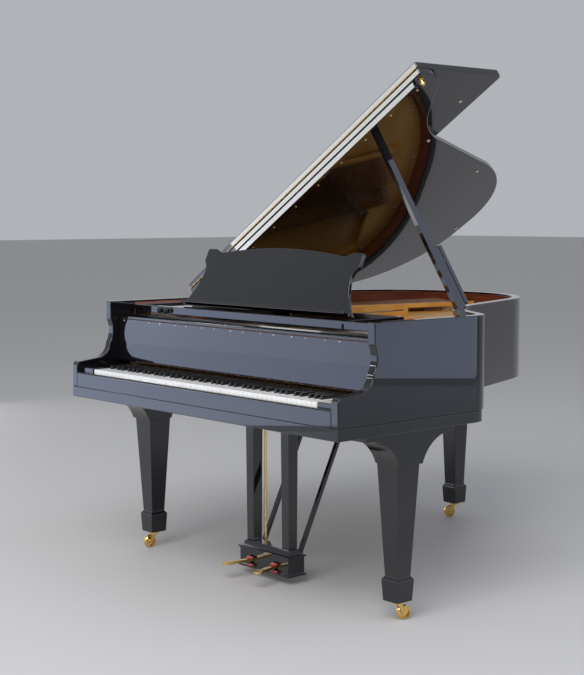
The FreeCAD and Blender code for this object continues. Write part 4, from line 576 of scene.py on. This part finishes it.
PEDAL_FELT_HALF = (0.015, 0.007, 0.0032)
PEDAL_FELT_GAP = 0.0045
PEDAL_FELT_POWER = 0.5
PEDAL_DIP = 0.0085
WHEEL_HALF = 0.0085
WHEEL_SIDES = 32
TREAD_STEPS = 9
TREAD_DROP = 0.0035
AXLE_RADIUS = 0.0042
HUB_RADIUS = 0.0075
WEB_INNER = (0.0080, 0.30)
WEB_OUTER = (0.0075, 0.25)
RIM_THICKNESS = 0.0055


def pedal_details():
    """Red felt above and below each pedal where it comes out of the box."""
    box_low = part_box("pedal_box")[0]
    for name in ("damper_pedal", "shift_pedal"):
        low, high = (np.array(c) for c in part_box(name))
        rod = (np.array(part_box(f"{name}_rod")[0]) + np.array(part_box(f"{name}_rod")[1])) / 2
        levels = {
            "over": high[2] + PEDAL_FELT_GAP,
            "under": low[2] - PEDAL_DIP - PEDAL_FELT_GAP,
        }
        for part, level in levels.items():
            centre = (rod[0], box_low[1] - PEDAL_FELT_GAP, level)
            points, faces = pillow(centre, PEDAL_FELT_HALF, PEDAL_FELT_POWER)
            place_piece(f"{name}_felt_{part}", points, faces, RED_FELT, "case")


def castor_details():
    """Turned brass wheels: hub, dished web and a tread rounded by the fourth power of its width."""
    for side in ("bass", "treble", "tail"):
        roll = joints[f"castor_roll_{side}"]
        axle = np.array(roll["pos_m"])
        radius = axle[2]
        across = np.linspace(-1, 1, TREAD_STEPS)
        tread = np.stack([radius - TREAD_DROP * across ** 4, WHEEL_HALF * across], axis=-1)
        web = np.array([
            (AXLE_RADIUS, -WHEEL_HALF),
            (HUB_RADIUS, -WHEEL_HALF),
            (WEB_INNER[0], -WEB_INNER[1] * WHEEL_HALF),
            (radius - WEB_OUTER[0], -WEB_OUTER[1] * WHEEL_HALF),
            (radius - RIM_THICKNESS, -WHEEL_HALF),
        ])
        profile = np.concatenate([web, tread, (web * (1, -1))[::-1]])
        points, faces = turned(profile, WHEEL_SIDES)
        points = points @ axes_along(roll["axis"]) + axle
        name = f"turned_wheel_{side}"
        shown_for = [f"castor_wheel_{side}"]
        place_piece(name, points, faces, BRASS, f"wheel_{side}", shown_for)


# Sounding parts: profiles as parts of the solid's half-width and height

PIN_POINTS = 24
PIN_SIDES = 8
PIN_TIP = 0.0001
PIN_PROFILE = [
    (0.86, 0.0), (0.86, 0.22), (1.2, 0.24), (1.2, 0.40),
    (0.86, 0.42), (0.86, 0.62), (0.66, 0.66), (0.6, 1.0),
]
BOLT_POINTS = 36
BOLT_SIDES = 12
BOLT_TIP = 0.0002
BOLT_PROFILE = [(1.0, 0.0), (1.0, 0.3), (0.82, 0.5), (0.72, 0.55), (0.5, 0.92)]
WIDTH_AXIS, DEPTH_AXIS, HEIGHT_AXIS = 0, 1, 2


def turned_copies(name, node, points_each, axis, profile, tip, sides):
    """One turned steel shape for each loose solid of a node, as tall and wide as the solids are."""
    low, high = solid_boxes(node, points_each)
    size = np.median(high - low, axis=0)
    half, tall = size[axis] / 2, size[HEIGHT_AXIS]
    outline = np.concatenate([np.array(profile) * (half, tall), [(tip, tall)]])
    feet = (low + high) / 2
    feet[:, HEIGHT_AXIS] = low[:, HEIGHT_AXIS]
    points, faces = repeated(*turned(outline, sides), feet)
    place_piece(name, points, faces, STEEL, "case", [node])


def pins_and_bolts():
    """Tuning pins with a coil of wire and a slimmer head, and domed nuts on the plate."""
    turned_copies(
        "turned_tuning_pins", "tuning_pins", PIN_POINTS, WIDTH_AXIS, PIN_PROFILE, PIN_TIP, PIN_SIDES
    )
    turned_copies(
        "domed_plate_bolts", "plate_bolts", BOLT_POINTS, DEPTH_AXIS, BOLT_PROFILE, BOLT_TIP,
        BOLT_SIDES,
    )


# Studio

FLOOR_COLOR = (0.50, 0.49, 0.48)
FLOOR_ROUGH = 0.6
FLOOR_HALF = 60.0
WORLD_COLOR = (0.84, 0.87, 0.92)
WORLD_STRENGTH = 0.52
WINDOW_COLOR = (0.60, 0.70, 1.0)
LAMP_WHITE = (1.0, 1.0, 1.0)
# Name, place, aim, width, height, watts, colour, and the lean of the wide side in degrees
LAMPS = [
    ("key_lamp", (2.4, -4.6, 5.2), (0, 0, 0.8), 5.0, 5.0, 450, LAMP_WHITE, 0.0),
    ("top_lamp", (2.8, 0.0, 4.6), (0.2, -0.2, 0.9), 3.0, 3.0, 40, WINDOW_COLOR, 0.0),
    ("window_lamp", (-2.95, -3.05, 0.57), (0, -0.1, 0.57), 2.0, 1.08, 13, WINDOW_COLOR, 0.0),
    (
        "edge_lamp", (-3.985, -4.015, 1.725), (0.215, 0.185, 1.725), 2.0, 0.24, 13.5,
        LAMP_WHITE, 43.7,
    ),
    ("fill_lamp", (-4.8, -0.4, 1.0), (0, -0.2, 0.9), 3.0, 1.8, 16, LAMP_WHITE, 0.0),
    ("side_lamp", (5.0, 4.0, 1.2), (0.2, -0.2, 0.85), 3.0, 2.3, 28, WINDOW_COLOR, 0.0),
]
CAMERA_PLACE = (3.7913, -3.6558, 1.2842)
CAMERA_TURN = (85.025, 0.09, 49.105)
CAMERA_LENS = 75.4
CAMERA_SENSOR = 36.0


def studio_floor():
    """A level square of pale floor under the castors."""
    mesh = bpy.data.meshes.new("studio_floor")
    h = FLOOR_HALF
    mesh.from_pydata([(-h, -h, 0), (h, -h, 0), (h, h, 0), (-h, h, 0)], [], [(0, 1, 2, 3)])
    floor = bpy.data.objects.new("studio_floor", mesh)
    bpy.context.collection.objects.link(floor)
    mesh.materials.append(shader("floor_paint", FLOOR_COLOR, FLOOR_ROUGH)[0])


def studio_world():
    """Even pale light from all round."""
    world = bpy.data.worlds.new("studio_world")
    bpy.context.scene.world = world
    world.use_nodes = True
    back = world.node_tree.nodes["Background"]
    back.inputs["Color"].default_value = (*WORLD_COLOR, 1.0)
    back.inputs["Strength"].default_value = WORLD_STRENGTH


def soft_lamp(name, place, aim, wide, tall, power, color, lean):
    """A rectangular lamp turned towards a point, its wide side leaning up from the level."""
    light = bpy.data.lights.new(name, "AREA")
    light.shape = "RECTANGLE"
    light.size = wide
    light.size_y = tall
    light.energy = power
    light.color = color
    lamp = bpy.data.objects.new(name, light)
    lamp.location = place
    facing = (Vector(aim) - Vector(place)).to_track_quat("-Z", "Y")
    lamp.rotation_euler = (facing @ Quaternion((0, 0, 1), math.radians(lean))).to_euler()
    bpy.context.collection.objects.link(lamp)


def studio_camera():
    """The camera at the photograph's viewing angle, with plain view settings."""
    data = bpy.data.cameras.new("camera")
    data.lens = CAMERA_LENS
    data.sensor_fit = "VERTICAL"
    data.sensor_height = CAMERA_SENSOR
    camera = bpy.data.objects.new("camera", data)
    camera.location = CAMERA_PLACE
    camera.rotation_euler = [math.radians(a) for a in CAMERA_TURN]
    bpy.context.collection.objects.link(camera)
    bpy.context.scene.camera = camera
    bpy.context.scene.view_settings.view_transform = "Standard"


dress_nodes()
for node_name, edge_width in EDGE_ROUND.items():
    rounded_copy(node_name, edge_width)
lid_details()
fallboard_details()
key_felt()
tray_catch()
pedal_details()
castor_details()
pins_and_bolts()
studio_floor()
studio_world()
for lamp_settings in LAMPS:
    soft_lamp(*lamp_settings)
studio_camera()

bpy.context.view_layer.update()
